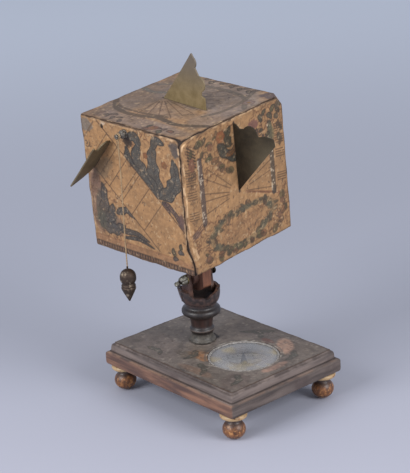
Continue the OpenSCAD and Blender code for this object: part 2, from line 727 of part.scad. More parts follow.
base_board();
base_paper();
ball_foot(1, -1);  // foot_north_east
ball_foot(1, 1);  // foot_north_west
ball_foot(-1, -1);  // foot_south_east
ball_foot(-1, 1);  // foot_south_west
compass_card();
compass_pivot();
compass_glass();
compass_ring();
column();
hinge_bolt();
bolt_washer();
friction_washers();
compass_needle();
needle_cap();
wing_nut();
tongue();
cube_block();
paper_top();
paper_north();
paper_east();
paper_south();
paper_west();
gnomon_top();
gnomon_north();
gnomon_east();
gnomon_south();
gnomon_west();
plumb_peg();
thread_loop();
plumb_thread();
plumb_bob();
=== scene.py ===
import math

import bpy
import numpy as np
from mathutils import Matrix


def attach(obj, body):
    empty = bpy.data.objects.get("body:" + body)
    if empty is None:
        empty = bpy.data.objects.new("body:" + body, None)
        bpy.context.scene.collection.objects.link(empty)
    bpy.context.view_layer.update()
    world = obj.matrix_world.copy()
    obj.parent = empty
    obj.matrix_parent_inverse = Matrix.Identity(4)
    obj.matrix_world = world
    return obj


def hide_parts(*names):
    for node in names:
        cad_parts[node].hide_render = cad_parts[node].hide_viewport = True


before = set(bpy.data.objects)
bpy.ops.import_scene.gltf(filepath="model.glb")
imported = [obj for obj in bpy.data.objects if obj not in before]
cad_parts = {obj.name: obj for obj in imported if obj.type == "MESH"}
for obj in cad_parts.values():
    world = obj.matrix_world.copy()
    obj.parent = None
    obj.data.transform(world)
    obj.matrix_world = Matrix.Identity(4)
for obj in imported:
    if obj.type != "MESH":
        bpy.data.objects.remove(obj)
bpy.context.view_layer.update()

# The view. The photograph looks down on the dial's north-east corner from not quite a metre away.
# The values come from a camera fitted to the corners of the block, the base and the compass.
FOCAL_PIXELS = 1648.74
PHOTO_HEIGHT = 473
SENSOR = 36
AZIMUTH, ELEVATION, ROLL = np.radians([49.3107, 20.3351, -3.1501])
CAMERA_AWAY = 920.9
CAMERA_RIGHT, CAMERA_UP = -9.53, 72.89
FOOT_H = 15.5


def looking_from(azimuth, elevation):
    """The directions right, up and back for an eye that looks at the dial from an azimuth and a height."""
    back = np.array([math.sin(azimuth) * math.cos(elevation), -math.cos(azimuth) * math.cos(elevation),
                     math.sin(elevation)])
    right = np.array([math.cos(azimuth), math.sin(azimuth), 0])
    return right, np.cross(back, right), back


def put_up(thing, right, up, back, at):
    """Sets a camera or a lamp at a point, with its own axes along three directions."""
    place = np.eye(4)
    place[:3] = np.stack([right, up, back, np.asarray(at) / 1000], 1)
    thing.matrix_world = Matrix(place.tolist())
    bpy.context.scene.collection.objects.link(thing)


level, square, backward = looking_from(AZIMUTH, ELEVATION)
rightward = level * math.cos(ROLL) + square * math.sin(ROLL)
upward = square * math.cos(ROLL) - level * math.sin(ROLL)
camera = bpy.data.objects.new("camera", bpy.data.cameras.new("camera"))
camera.data.sensor_width = SENSOR
camera.data.lens = FOCAL_PIXELS / PHOTO_HEIGHT * SENSOR
camera.data.clip_start = 0.05
put_up(camera, rightward, upward, backward,
       rightward * CAMERA_RIGHT + upward * CAMERA_UP + backward * CAMERA_AWAY + [0, 0, FOOT_H])
bpy.context.scene.camera = camera
bpy.context.scene.view_settings.view_transform = "Standard"


# The table and the light. The object stands on a wide sheet of pale blue-grey paper, between two soft
# boxes: one to the left in front of the east face, one to the right in front of the north face.

def srgb(r, g, b):
    """A colour as it looks, 0 to 255 a channel, as the linear value that a shader takes."""
    c = np.array([r, g, b]) / 255
    return tuple(np.where(c <= 0.04045, c / 12.92, ((c + 0.055) / 1.055) ** 2.4).tolist())


class Wire:
    """One output of a node. Sums, differences and products with it add the Math nodes that they need."""

    def __init__(self, tree, socket):
        self.tree = tree
        self.socket = socket

    def maths(self, operation, *values):
        """The output of a Math node with these values on its sockets."""
        return self.tree.node("ShaderNodeMath", {"operation": operation}, dict(enumerate(values)))

    def __add__(self, other):
        return self.maths("ADD", self, other)

    def __radd__(self, other):
        return self.maths("ADD", other, self)

    def __sub__(self, other):
        return self.maths("SUBTRACT", self, other)

    def __rsub__(self, other):
        return self.maths("SUBTRACT", other, self)

    def __mul__(self, other):
        return self.maths("MULTIPLY", self, other)

    def __rmul__(self, other):
        return self.maths("MULTIPLY", other, self)

    def __abs__(self):
        return self.maths("ABSOLUTE", self)

    def between(self, low, high):
        """0 below low, 1 above high, and a smooth step from one to the other."""
        return self.tree.node("ShaderNodeMapRange", {"interpolation_type": "SMOOTHSTEP"},
                              {0: self, 1: low, 2: high})


class Nodes:
    """A node tree whose nodes are written as expressions on Wires."""

    def __init__(self, tree):
        self.tree = tree

    def node(self, kind, settings=None, sockets=None, out=0):
        """Adds a node: its settings first, then the values or wires of its sockets."""
        made = self.tree.nodes.new(kind)
        for name, value in (settings or {}).items():
            setattr(made, name, value)
        for key, value in (sockets or {}).items():
            self.feed(made.inputs[key], value)
        return Wire(self, made.outputs[out])

    def feed(self, socket, value):
        """Links a wire to a socket, or sets the socket to a value."""
        if isinstance(value, Wire):
            self.tree.links.new(value.socket, socket)
        else:
            socket.default_value = (*value, 1) if socket.type == "RGBA" else value


class Finish(Nodes):
    """A material. A value that is the same all over is given by its socket's name."""

    def __init__(self, name, **uniform):
        self.material = bpy.data.materials.new(name)
        self.material.use_nodes = True
        super().__init__(self.material.node_tree)
        for socket, value in uniform.items():
            self.set(socket.replace("_", " "), value)

    def set(self, name, value):
        """Feeds a socket of the material's shader."""
        self.feed(self.tree.nodes["Principled BSDF"].inputs[name], value)

    def place(self, shift=(0, 0, 0), stretch=(1, 1, 1)):
        """Where a point lies on the object, in metres, stretched and shifted."""
        spot = self.node("ShaderNodeTexCoord", out="Object")
        return self.node("ShaderNodeMapping", None, {0: spot, 1: shift, 3: stretch})

    def along(self, axis):
        """Where a point lies along one axis, in millimetres."""
        return self.node("ShaderNodeSeparateXYZ", None, {0: self.place()}, axis) * 1000

    def height(self):
        """How high a point is over the object's origin."""
        return self.along("Z")

    def from_axis(self, x, y):
        """How far a point is from an upright axis through x, y."""
        flat = self.place((-x / 1000, -y / 1000, 0), (1, 1, 0))
        return self.node("ShaderNodeVectorMath", {"operation": "LENGTH"}, {0: flat}, "Value") * 1000

    def noise(self, size, detail=2.0, rough=0.5, **place):
        """Cloudy noise whose blots are about size millimetres wide."""
        return self.node("ShaderNodeTexNoise", None, {
            "Vector": self.place(**place), "Scale": 1000 / size, "Detail": detail, "Roughness": rough})

    def mix(self, factor, first, second, blend="MIX"):
        """A blend of two colours. One that isn't a wire is given as it looks, 0 to 255 a channel."""
        first, second = (c if isinstance(c, Wire) else srgb(*c) for c in (first, second))
        return self.node("ShaderNodeMix", {"data_type": "RGBA", "blend_type": blend},
                         {0: factor, 6: first, 7: second}, 2)

    def layered(self, tone, *layers):
        """A tone with others over it, in turn, each as thick as its cover says."""
        for cover, colour in layers:
            tone = self.mix(cover, tone, colour)
        return tone

    def relief(self, height, depth):
        """Raises the surface by height times depth millimetres, in its shading."""
        self.set("Normal", self.node("ShaderNodeBump", None, {
            "Strength": 1.0, "Distance": depth / 1000, "Height": height}, "Normal"))


def mesh_of(name, shape, finish, sharp=40):
    """A mesh object from its points and faces; edges sharper than the given angle stay hard."""
    points, faces = shape
    mesh = bpy.data.meshes.new(name)
    mesh.from_pydata((np.asarray(points) / 1000).tolist(), [], faces)
    mesh.polygons.foreach_set("use_smooth", np.ones(len(mesh.polygons), bool))
    mesh.set_sharp_from_angle(angle=math.radians(sharp))
    mesh.materials.append(finish.material)
    thing = bpy.data.objects.new(name, mesh)
    bpy.context.scene.collection.objects.link(thing)
    return thing


table_paper = Finish("table_paper", Roughness=0.9, Specular_IOR_Level=0.1)
east_west, north_south = table_paper.along("Y"), table_paper.along("X")
behind = math.cos(AZIMUTH) * east_west - math.sin(AZIMUTH) * north_south
aside = math.sin(AZIMUTH) * east_west + math.cos(AZIMUTH) * north_south
# The sheet's colour holds painted light and shade: painted shade behind the object and to its right, and
# painted light that makes it paler far off.
table_paper.set("Base Color", table_paper.layered(
    (182, 184, 200), (behind.between(-160, 220), (168, 172, 188)),
    (aside.between(60, 260) * (1 - behind.between(-60, 160)), (170, 172, 186)),
    (behind.between(250, 1100), (206, 215, 234))))
TABLE_R, TABLE_SIDES = 8000, 64
angles = np.linspace(0, 2 * np.pi, TABLE_SIDES, endpoint=False)
rim = TABLE_R * np.column_stack([np.cos(angles), np.sin(angles), 0 * angles])
mesh_of("table_top", (rim, [tuple(range(TABLE_SIDES))]), table_paper)

AROUND_LIGHT = 0.46
world = bpy.data.worlds.new("studio")
world.use_nodes = True
bpy.context.scene.world = world
studio = Nodes(world.node_tree)
straight, mirrored, through = (studio.node("ShaderNodeLightPath", out=f"Is {kind} Ray")
                               for kind in ("Camera", "Glossy", "Transmission"))
seen = straight.maths("MAXIMUM", straight, mirrored)
seen = seen.maths("MAXIMUM", seen, through)
lit = studio.node("ShaderNodeBackground", None, {0: (0.94, 0.96, 1), 1: AROUND_LIGHT})
shown = studio.node("ShaderNodeBackground", None, {0: srgb(172, 178, 195)})
studio.feed(world.node_tree.nodes["World Output"].inputs[0],
            studio.node("ShaderNodeMixShader", None, {0: seen, 1: lit, 2: shown}))

LAMP_AWAY, LAMP_SIZE, LAMP_MIDDLE = 1700, 1.0, 100
for name, azimuth, elevation, watts in (("soft_box_left", -8, 29, 22), ("soft_box_right", 100, 27, 20)):
    lamp = bpy.data.objects.new(name, bpy.data.lights.new(name, "AREA"))
    lamp.data.size = LAMP_SIZE
    lamp.data.energy = watts
    right, up, back = looking_from(math.radians(azimuth), math.radians(elevation))
    put_up(lamp, right, up, back, back * LAMP_AWAY + [0, 0, LAMP_MIDDLE])


# The plumb line. A twisted linen thread, doubled below the peg and knotted to itself, carries a turned
# brass bob; the thread is 70 mm long from the loop to the bob's eye, all of it in the photograph.
HANG = np.array([-15.418, -49.617, 158.9998])
THREAD_D = 0.7
THREAD_TOP, DROP = 2.02, 72
ROUTE = np.array([(0, 0, 0), (0.1, 0, 10), (0.2, 0.1, 20), (0.1, 0.1, 30), (0, 0, 40), (-0.1, 0, 50),
                  (-0.1, -0.1, 60), (0, 0, 70), (0, 0, 80)])
KNOT_DEPTH = 9
TAIL_OUT = 1.35
YARN_SIDES, YARN_PITCH = 8, 1.5


def thread_at(depth):
    """Where the thread is at a depth below the peg: it eases from each point of its route to the next."""
    i = np.clip(np.searchsorted(ROUTE[:, 2], depth, "right") - 1, 0, len(ROUTE) - 2)
    t = (depth - ROUTE[i, 2]) / (ROUTE[i + 1, 2] - ROUTE[i, 2])
    s = (t * t * (3 - 2 * t))[:, None]
    drift = ROUTE[i, :2] + (ROUTE[i + 1, :2] - ROUTE[i, :2]) * s
    return HANG + np.column_stack([drift, -depth])


def quads(rows, cols, closed=True):
    """The faces of a grid of points, row by row; closed joins the last column to the first."""
    i = np.arange(rows - 1)[:, None] * cols
    j = np.arange(cols if closed else cols - 1)[None]
    k = (j + 1) % cols
    return np.stack([i + j, i + k, i + cols + k, i + cols + j], -1).reshape(-1, 4)


def capped(rings, first, last):
    """The skin of a stack of rings: quads from ring to ring, and a fan to a point at each end."""
    rows, cols = rings.shape[:2]
    j = np.arange(cols)
    k, top, ends = (j + 1) % cols, (rows - 1) * cols, rows * cols
    fans = np.vstack([np.stack([ends + 0 * j, k, j], 1), np.stack([ends + 1 + 0 * j, top + j, top + k], 1)])
    return np.vstack([rings.reshape(-1, 3), [first, last]]), quads(rows, cols).tolist() + fans.tolist()


def yarn(line, radius, across=(1, 0, 0)):
    """A two-strand yarn along a line: round a ring the radius swells twice, and the swelling turns once
    round the line in every pitch."""
    tangent = np.gradient(line, axis=0)
    tangent /= np.linalg.norm(tangent, axis=1)[:, None]
    first = np.cross(tangent, np.cross(np.array(across, float), tangent))
    first /= np.linalg.norm(first, axis=1)[:, None]
    second = np.cross(tangent, first)
    run = np.concatenate([[0], np.cumsum(np.linalg.norm(np.diff(line, axis=0), axis=1))])
    a = np.linspace(0, 2 * np.pi, YARN_SIDES, endpoint=False)
    swell = radius * (0.84 + 0.16 * np.cos(2 * (a[None] - np.pi * run[:, None] / YARN_PITCH)))
    around = np.cos(a)[None, :, None] * first[:, None] + np.sin(a)[None, :, None] * second[:, None]
    return capped(line[:, None] + swell[..., None] * around, line[0], line[-1])


def joined(*shapes):
    """Several (points, faces) shapes as one."""
    points, faces = [], []
    for more_points, more_faces in shapes:
        shift = sum(len(p) for p in points)
        faces += [tuple(shift + i for i in face) for face in more_faces]
        points.append(np.asarray(more_points))
    return np.vstack(points), faces


def piece(name, node, body, shape, finish, sharp=40):
    """A finished piece. It stands for a node of the CAD model and rides on the given body."""
    made = mesh_of(name, shape, finish, sharp)
    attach(made, body)
    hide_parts(node)
    return made


linen = Finish("linen_thread", Roughness=0.85, Specular_IOR_Level=0.2)
linen.set("Base Color", linen.mix(linen.noise(1.2, 3, stretch=(1, 1, 0.5)), (98, 78, 58), (202, 174, 138)))
linen.relief(linen.noise(0.25, 3), 0.05)

hanging = thread_at(np.linspace(THREAD_TOP, DROP, 360))
tail_depths = np.linspace(THREAD_TOP - 1.2, KNOT_DEPTH, 60)
tail = thread_at(tail_depths)
parting = np.clip((KNOT_DEPTH - 1 - tail_depths) / (KNOT_DEPTH - THREAD_TOP), 0, 1)[:, None]
tail += np.array([-TAIL_OUT, -0.1, 0]) * parting ** 0.8 - [0, 0.32, 0] * (1 - parting)
knot_turns = np.linspace(0, 5 * np.pi, 60)
knot = thread_at(np.full(60, KNOT_DEPTH)) + np.column_stack([
    0.34 * np.cos(knot_turns), 0.34 * np.sin(knot_turns) - 0.12, 0.75 * np.cos(knot_turns * 0.2 + 0.3)])
thread = piece("thread", "plumb_thread", "plumb", joined(
    yarn(hanging, THREAD_D * 0.58), yarn(tail, THREAD_D * 0.38), yarn(knot, THREAD_D * 0.34, (0, 0, 1))),
    linen, 180)

# The loop is the same thread, wound three times round the peg's groove. It keeps upright while the
# peg turns in it, so it is a piece by itself.
LOOP_R = 1.37
LOOP_TURNS = 3
wind = np.linspace(0, LOOP_TURNS * 2 * np.pi, 150)
wound = HANG + np.column_stack([LOOP_R * np.cos(wind), 0.5 * np.cos(wind / (2 * LOOP_TURNS)),
                                LOOP_R * np.sin(wind)])
piece("loop_on_peg", "thread_loop", "loop", yarn(wound, THREAD_D * 0.42, (0, 1, 0)), linen, 180)


def arc(x, z, rx, rz, start, end, count):
    """Points of an ellipse's arc about (x, z), from one angle to another in degrees."""
    a = np.radians(np.linspace(start, end, count))
    return list(zip(x + rx * np.cos(a), z + rz * np.sin(a)))


def eased(profile, spacing=0.2, passes=3):
    """A profile resampled evenly, with each point drawn to the mean of its neighbours, so that its
    corners look handled. The ends stay."""
    line = np.array(profile, float)
    run = np.concatenate([[0], np.cumsum(np.hypot(*np.diff(line, axis=0).T))])
    at = np.linspace(0, run[-1], max(3, int(run[-1] / spacing)))
    line = np.stack([np.interp(at, run, line[:, k]) for k in (0, 1)], 1)
    for _ in range(passes):
        line[1:-1] = (line[:-2] + line[1:-1] * 2 + line[2:]) / 4
    return line


def turned(profile, sides=48, foot=(0, 0, 0)):
    """A profile of radius and height carried round an upright axis through foot. Its ends lie on the
    axis, where the surface closes."""
    line = np.array(profile, float)
    a = np.linspace(0, 2 * np.pi, sides, endpoint=False)
    r, z = line[1:-1, 0, None], line[1:-1, 1, None]
    rings = np.stack([r * np.cos(a), r * np.sin(a), z + 0 * a], -1)
    return capped(rings + foot, *(np.array([0, 0, line[k, 1]]) + foot for k in (0, -1)))


# The bob is a turned brass acorn: a small eye, a dome, a proud ring, a waist and a pointed cone.
# Handling has left it dark, with bright spots where it has been rubbed.
BOB_R, BOB_H, EYE_H = 4.4, 18.6, 1.6
DOME_Z = -EYE_H - 4.2
bob_profile = eased([
    (0, -EYE_H - BOB_H), (0.45, 0.3 - EYE_H - BOB_H), (0.7, 0.9 - EYE_H - BOB_H),
    (2.0, DOME_Z - 11.0), (3.2, DOME_Z - 8.6), (3.75, DOME_Z - 7.4), (4.0, DOME_Z - 6.7),
    (4.02, DOME_Z - 6.2), (3.8, DOME_Z - 5.85), (3.55, DOME_Z - 5.7), (3.9, DOME_Z - 5.4),
    (3.9, DOME_Z - 4.9), (3.5, DOME_Z - 4.6), (3.45, DOME_Z - 3.5), (3.75, DOME_Z - 3.2),
    *arc(3.35, DOME_Z - 1.2, 1.05, 1.9, -50, 0, 6), *arc(0, DOME_Z, BOB_R, 4.2, 0, 84, 16),
    (0.46, -EYE_H), (0.42, -1.0), (0.62, -0.5), (0.42, -0.05), (0, 0)], 0.2, 2)
dark_brass = Finish("dark_brass", Metallic=0.85)
rubbed = dark_brass.noise(4, 4, 0.65).between(0.52, 0.7)
dark_brass.set("Base Color", dark_brass.mix(rubbed, (78, 66, 58), (176, 160, 136)))
dark_brass.set("Roughness", 0.5 - 0.22 * rubbed + 0.12 * dark_brass.noise(0.6, 3))
dark_brass.relief(dark_brass.noise(0.9, 4, 0.6) + dark_brass.noise(0.22, 1, stretch=(1, 1, 6)) * 0.3, 0.09)
bob = piece("bob", "plumb_bob", "plumb", turned(bob_profile, 56, HANG - [0, 0, DROP]),
            dark_brass, 50)


# The base board. Walnut-stained hardwood, with a moulding planed round its top edge and mitred at the
# corners; the compass well is turned out of it. Hands have rounded the arrises and rubbed them pale.
BASE_L, BASE_W, BASE_H, SIDE_H = 106, 82, 12.8, 7.3
BOARD_Z = FOOT_H + BASE_H
MOULD_IN = 3.9
CORNER_R = 1.3
COMPASS = np.array([19.1, -0.5])
RING_R, WELL_R = 19.95, 18.9
GLASS_Z, WELL_Z = 26.45, 20.65
LATTICE = 64


def cloud(x, y, size, seed, octaves=3):
    """Smooth noise from 0 to 1: random heights on a lattice of the given size, eased between its points,
    and again at half the size and half the weight for each octave."""
    total, weight = 0, 0
    for k in range(octaves):
        grid = np.random.default_rng(seed + k).random((LATTICE, LATTICE))
        u, v = np.asarray(x) / size * 2 ** k + 500, np.asarray(y) / size * 2 ** k + 500
        i, j = np.floor(u).astype(int), np.floor(v).astype(int)
        s, t = u - i, v - j
        s, t = s * s * (3 - 2 * s), t * t * (3 - 2 * t)
        i, j, m, n = (index % LATTICE for index in (i, j, i + 1, j + 1))
        near, far = grid[i, j] * (1 - s) + grid[m, j] * s, grid[i, n] * (1 - s) + grid[m, n] * s
        total = total + (near * (1 - t) + far * t) / 2 ** k
        weight += 1 / 2 ** k
    return total / weight


CORNER_STEPS, SIDE_STEPS = 6, (46, 36)


def round_box():
    """Points round a rectangle as fractions of its half sizes, with the outward direction at each, so
    that a corner of any radius fits: point = fraction * (half - radius) + radius * direction."""
    fraction, direction = [], []
    corners = [(1, 1), (-1, 1), (-1, -1), (1, -1)]
    for k, (sx, sy) in enumerate(corners):
        for a in np.radians(np.linspace(0, 90, CORNER_STEPS) + 90 * k):
            fraction.append((sx, sy))
            direction.append((math.cos(a), math.sin(a)))
        nx, ny = corners[(k + 1) % 4]
        steps = SIDE_STEPS[k % 2]
        for t in np.arange(1, steps) / steps:
            fraction.append((sx + (nx - sx) * t, sy + (ny - sy) * t))
            direction.append(((sx + nx) / 2, (sy + ny) / 2))
    return np.array(fraction), np.array(direction)


edge = eased([
    (1.2, 0), (0.5, 0.25), (0.05, 0.9), (0, 2), (0, 6.0), *arc(0.9, SIDE_H - 0.9, 0.9, 0.9, 180, 90, 5),
    (1.2, SIDE_H), (1.27, SIDE_H + 0.05), *arc(1.75, SIDE_H, 0.5, 0.5, 170, 10, 7), (2.26, SIDE_H + 0.1),
    *arc(3.1, SIDE_H + 0.5, 0.85, 4.2, 180, 92, 8), (3.15, 12.0), (MOULD_IN, 12.05),
    (MOULD_IN + 0.05, 12.7), (MOULD_IN + 0.4, BASE_H)], 0.28, 1)
fraction, outward = round_box()
half = np.array([BASE_L, BASE_W]) / 2
rows = []
for inset, height in edge:
    ring = fraction * (half - inset - CORNER_R) + CORNER_R * outward
    worn = 0.12 * (cloud(ring[:, 0] + ring[:, 1] * 1.7, 0 * ring[:, 0] + height * 3, 9, 3) - 0.5)
    rows.append(np.column_stack([ring - outward * worn[:, None], np.full(len(ring), FOOT_H + height)]))
bearing = rows[-1][:, :2] - COMPASS
bearing /= np.linalg.norm(bearing, axis=1)[:, None]
well = [(RING_R + 3, BOARD_Z), (RING_R + 0.3, BOARD_Z), (RING_R, BOARD_Z - 0.25), (RING_R, GLASS_Z + 0.1),
        (RING_R, GLASS_Z - 0.06), (WELL_R + 0.02, GLASS_Z - 0.06), (WELL_R, GLASS_Z - 0.3),
        (WELL_R, WELL_Z + 0.1), (WELL_R - 0.1, WELL_Z)]
rows += [np.column_stack([COMPASS + bearing * r, np.full(len(bearing), z)]) for r, z in well]

base_wood = Finish("base_wood")
along_x, along_y, up = base_wood.along("X"), base_wood.along("Y"), base_wood.height()
ends = (abs(along_x) - abs(along_y)).between(11, 13)


def grain_of(size, detail, squeezed):
    """The board's grain: it runs along the long sides, and across on the mitred ends."""
    lengthwise = base_wood.noise(size, detail, 0.6, stretch=(squeezed, 1, 1))
    crosswise = base_wood.noise(size, detail, 0.6, stretch=(1, squeezed, 1))
    return lengthwise * (1 - ends) + crosswise * ends


grain, fine = grain_of(3.0, 4, 0.1), grain_of(0.5, 3, 0.08)
blots = base_wood.noise(16, 3)
# The east side takes a warmer, lighter tone: painted light, for the lamp that falls on that side.
east_side = (-1 * along_y).between(38, 41) * (1 - ends)
upper = up.between(FOOT_H + SIDE_H - 0.5, FOOT_H + SIDE_H + 0.6)
moulding_tone = base_wood.mix(grain.between(0.3, 0.7), (80, 70, 67), (122, 108, 102))
other_face_tone = base_wood.mix(grain.between(0.3, 0.75), (68, 58, 55), (112, 99, 93))
lit_warm_tone = base_wood.mix(grain.between(0.32, 0.7), (84, 62, 56), (142, 104, 84))
# The pale line along the bead's top is rubbed wear, and painted highlight where it grows stronger on the lit
# east side.
bead_wear_and_highlight = 1 - abs(up - (FOOT_H + SIDE_H + 0.1)).between(0.1, 0.5)
bead_wear_and_highlight = bead_wear_and_highlight * base_wood.noise(6, 4).between(0.38, 0.6)
# A dark line in the groove behind the bead: painted shade.
shade_under_bead = 1 - abs(up - (FOOT_H + SIDE_H + 0.75)).between(0.1, 0.5)
top_edge = up.between(BOARD_Z - 1.6, BOARD_Z - 0.9) * base_wood.noise(5, 4).between(0.35, 0.6)
dust = base_wood.noise(0.8, 4, 0.7).between(0.58, 0.78)
base_wood.set("Base Color", base_wood.layered(
    other_face_tone, (east_side, lit_warm_tone), (upper, moulding_tone), (blots.between(0.54, 0.7) * 0.55, (74, 60, 58)),
    (bead_wear_and_highlight * (0.2 + 0.3 * east_side), (166, 128, 102)), (shade_under_bead * 0.75, (48, 39, 37)),
    (top_edge * 0.7, (62, 52, 50)), (dust * 0.3, (156, 148, 144))))
base_wood.set("Roughness", 0.56 + 0.2 * base_wood.noise(5, 3))
base_wood.relief(fine * 0.7 + base_wood.noise(1.4, 4, 0.65) * 0.5, 0.12)
piece("base_board_worn", "base_board", "stand",
      capped(np.stack(rows), [0, 0, FOOT_H], [*COMPASS, WELL_Z]), base_wood, 32)


# The ball feet. Fruitwood, turned with a collar that glues up against the board, a neck that is dark up
# under the collar and scribed lines burnt black round the ball; wax has kept them glossy.
FEET = {"north_east": (1, -1), "north_west": (1, 1), "south_east": (-1, -1), "south_west": (-1, 1)}
FOOT_X, FOOT_Y = 45.4, 33.4
foot_profile = eased([
    (0, 0), (1.7, 0), *arc(0, 5.6, 6.2, 5.6, -72, -38, 8), (4.75, 2.0), (4.95, 2.25),
    *arc(0, 5.6, 6.2, 5.6, -30, 50, 16), (3.7, 10.7), (3.45, 11.4), (3.9, 11.9), (4.3, 12.4),
    *arc(6.1, 14.0, 1.3, 1.4, -95, 80, 9), (5.2, FOOT_H), (0, FOOT_H)], 0.24, 2)
foot_wood = Finish("foot_wood", Coat_Roughness=0.2, Coat_Weight=0.18)
up = foot_wood.height()
foot_up = up + foot_wood.noise(4, 3) * 1.6 - 0.8
streak = foot_wood.noise(1.6, 4, 0.65, stretch=(1, 1, 0.35)).between(0.3, 0.75)
foot_wood.set("Base Color", foot_wood.layered(
    (84, 51, 30), (streak, (152, 99, 58)),
    (foot_wood.noise(2.4, 4, 0.7).between(0.52, 0.7) * 0.75, (58, 40, 32)),
    (foot_wood.noise(1.8, 4, 0.7, shift=(0.1, 0, 0)).between(0.52, 0.64) * 0.75, (204, 146, 90)),
    ((1 - abs(foot_up - 2.3).between(0.1, 0.55)) * 0.75, (52, 34, 26)),
    ((1 - abs(up - 6.4).between(0.05, 0.2)) * 0.45, (66, 42, 28)),
    # The neck is darker up to the collar.
    (foot_up.between(7.2, 10.0) * (1 - up.between(11.8, 12.6)) * 0.9, (54, 42, 40)),
    (up.between(12.2, 12.8) * foot_wood.noise(2.5, 4).between(0.3, 0.5), (184, 154, 114))))
foot_wood.set("Roughness", 0.3 + 0.3 * foot_wood.noise(2, 3))
foot_wood.relief(foot_wood.noise(0.7, 4) + foot_wood.noise(0.3, 1, stretch=(0.1, 0.1, 3)) * 0.4, 0.06)
for corner, (sx, sy) in FEET.items():
    points, faces = turned(foot_profile)
    out_of_round = 1 + 0.012 * np.cos(2 * np.arctan2(points[:, 1], points[:, 0]) + sx + 2 * sy)
    points[:, :2] *= out_of_round[:, None]
    piece(f"foot_{corner}_turned", f"foot_{corner}", "stand",
          (points + [sx * FOOT_X, sy * FOOT_Y, 0], faces), foot_wood, 50)


# The printed papers. Rag paper, printed from a plate, coloured by hand and pasted down. A sheet is a
# grid of points; every stroke of the print is a distance from a line or an outline on that grid.

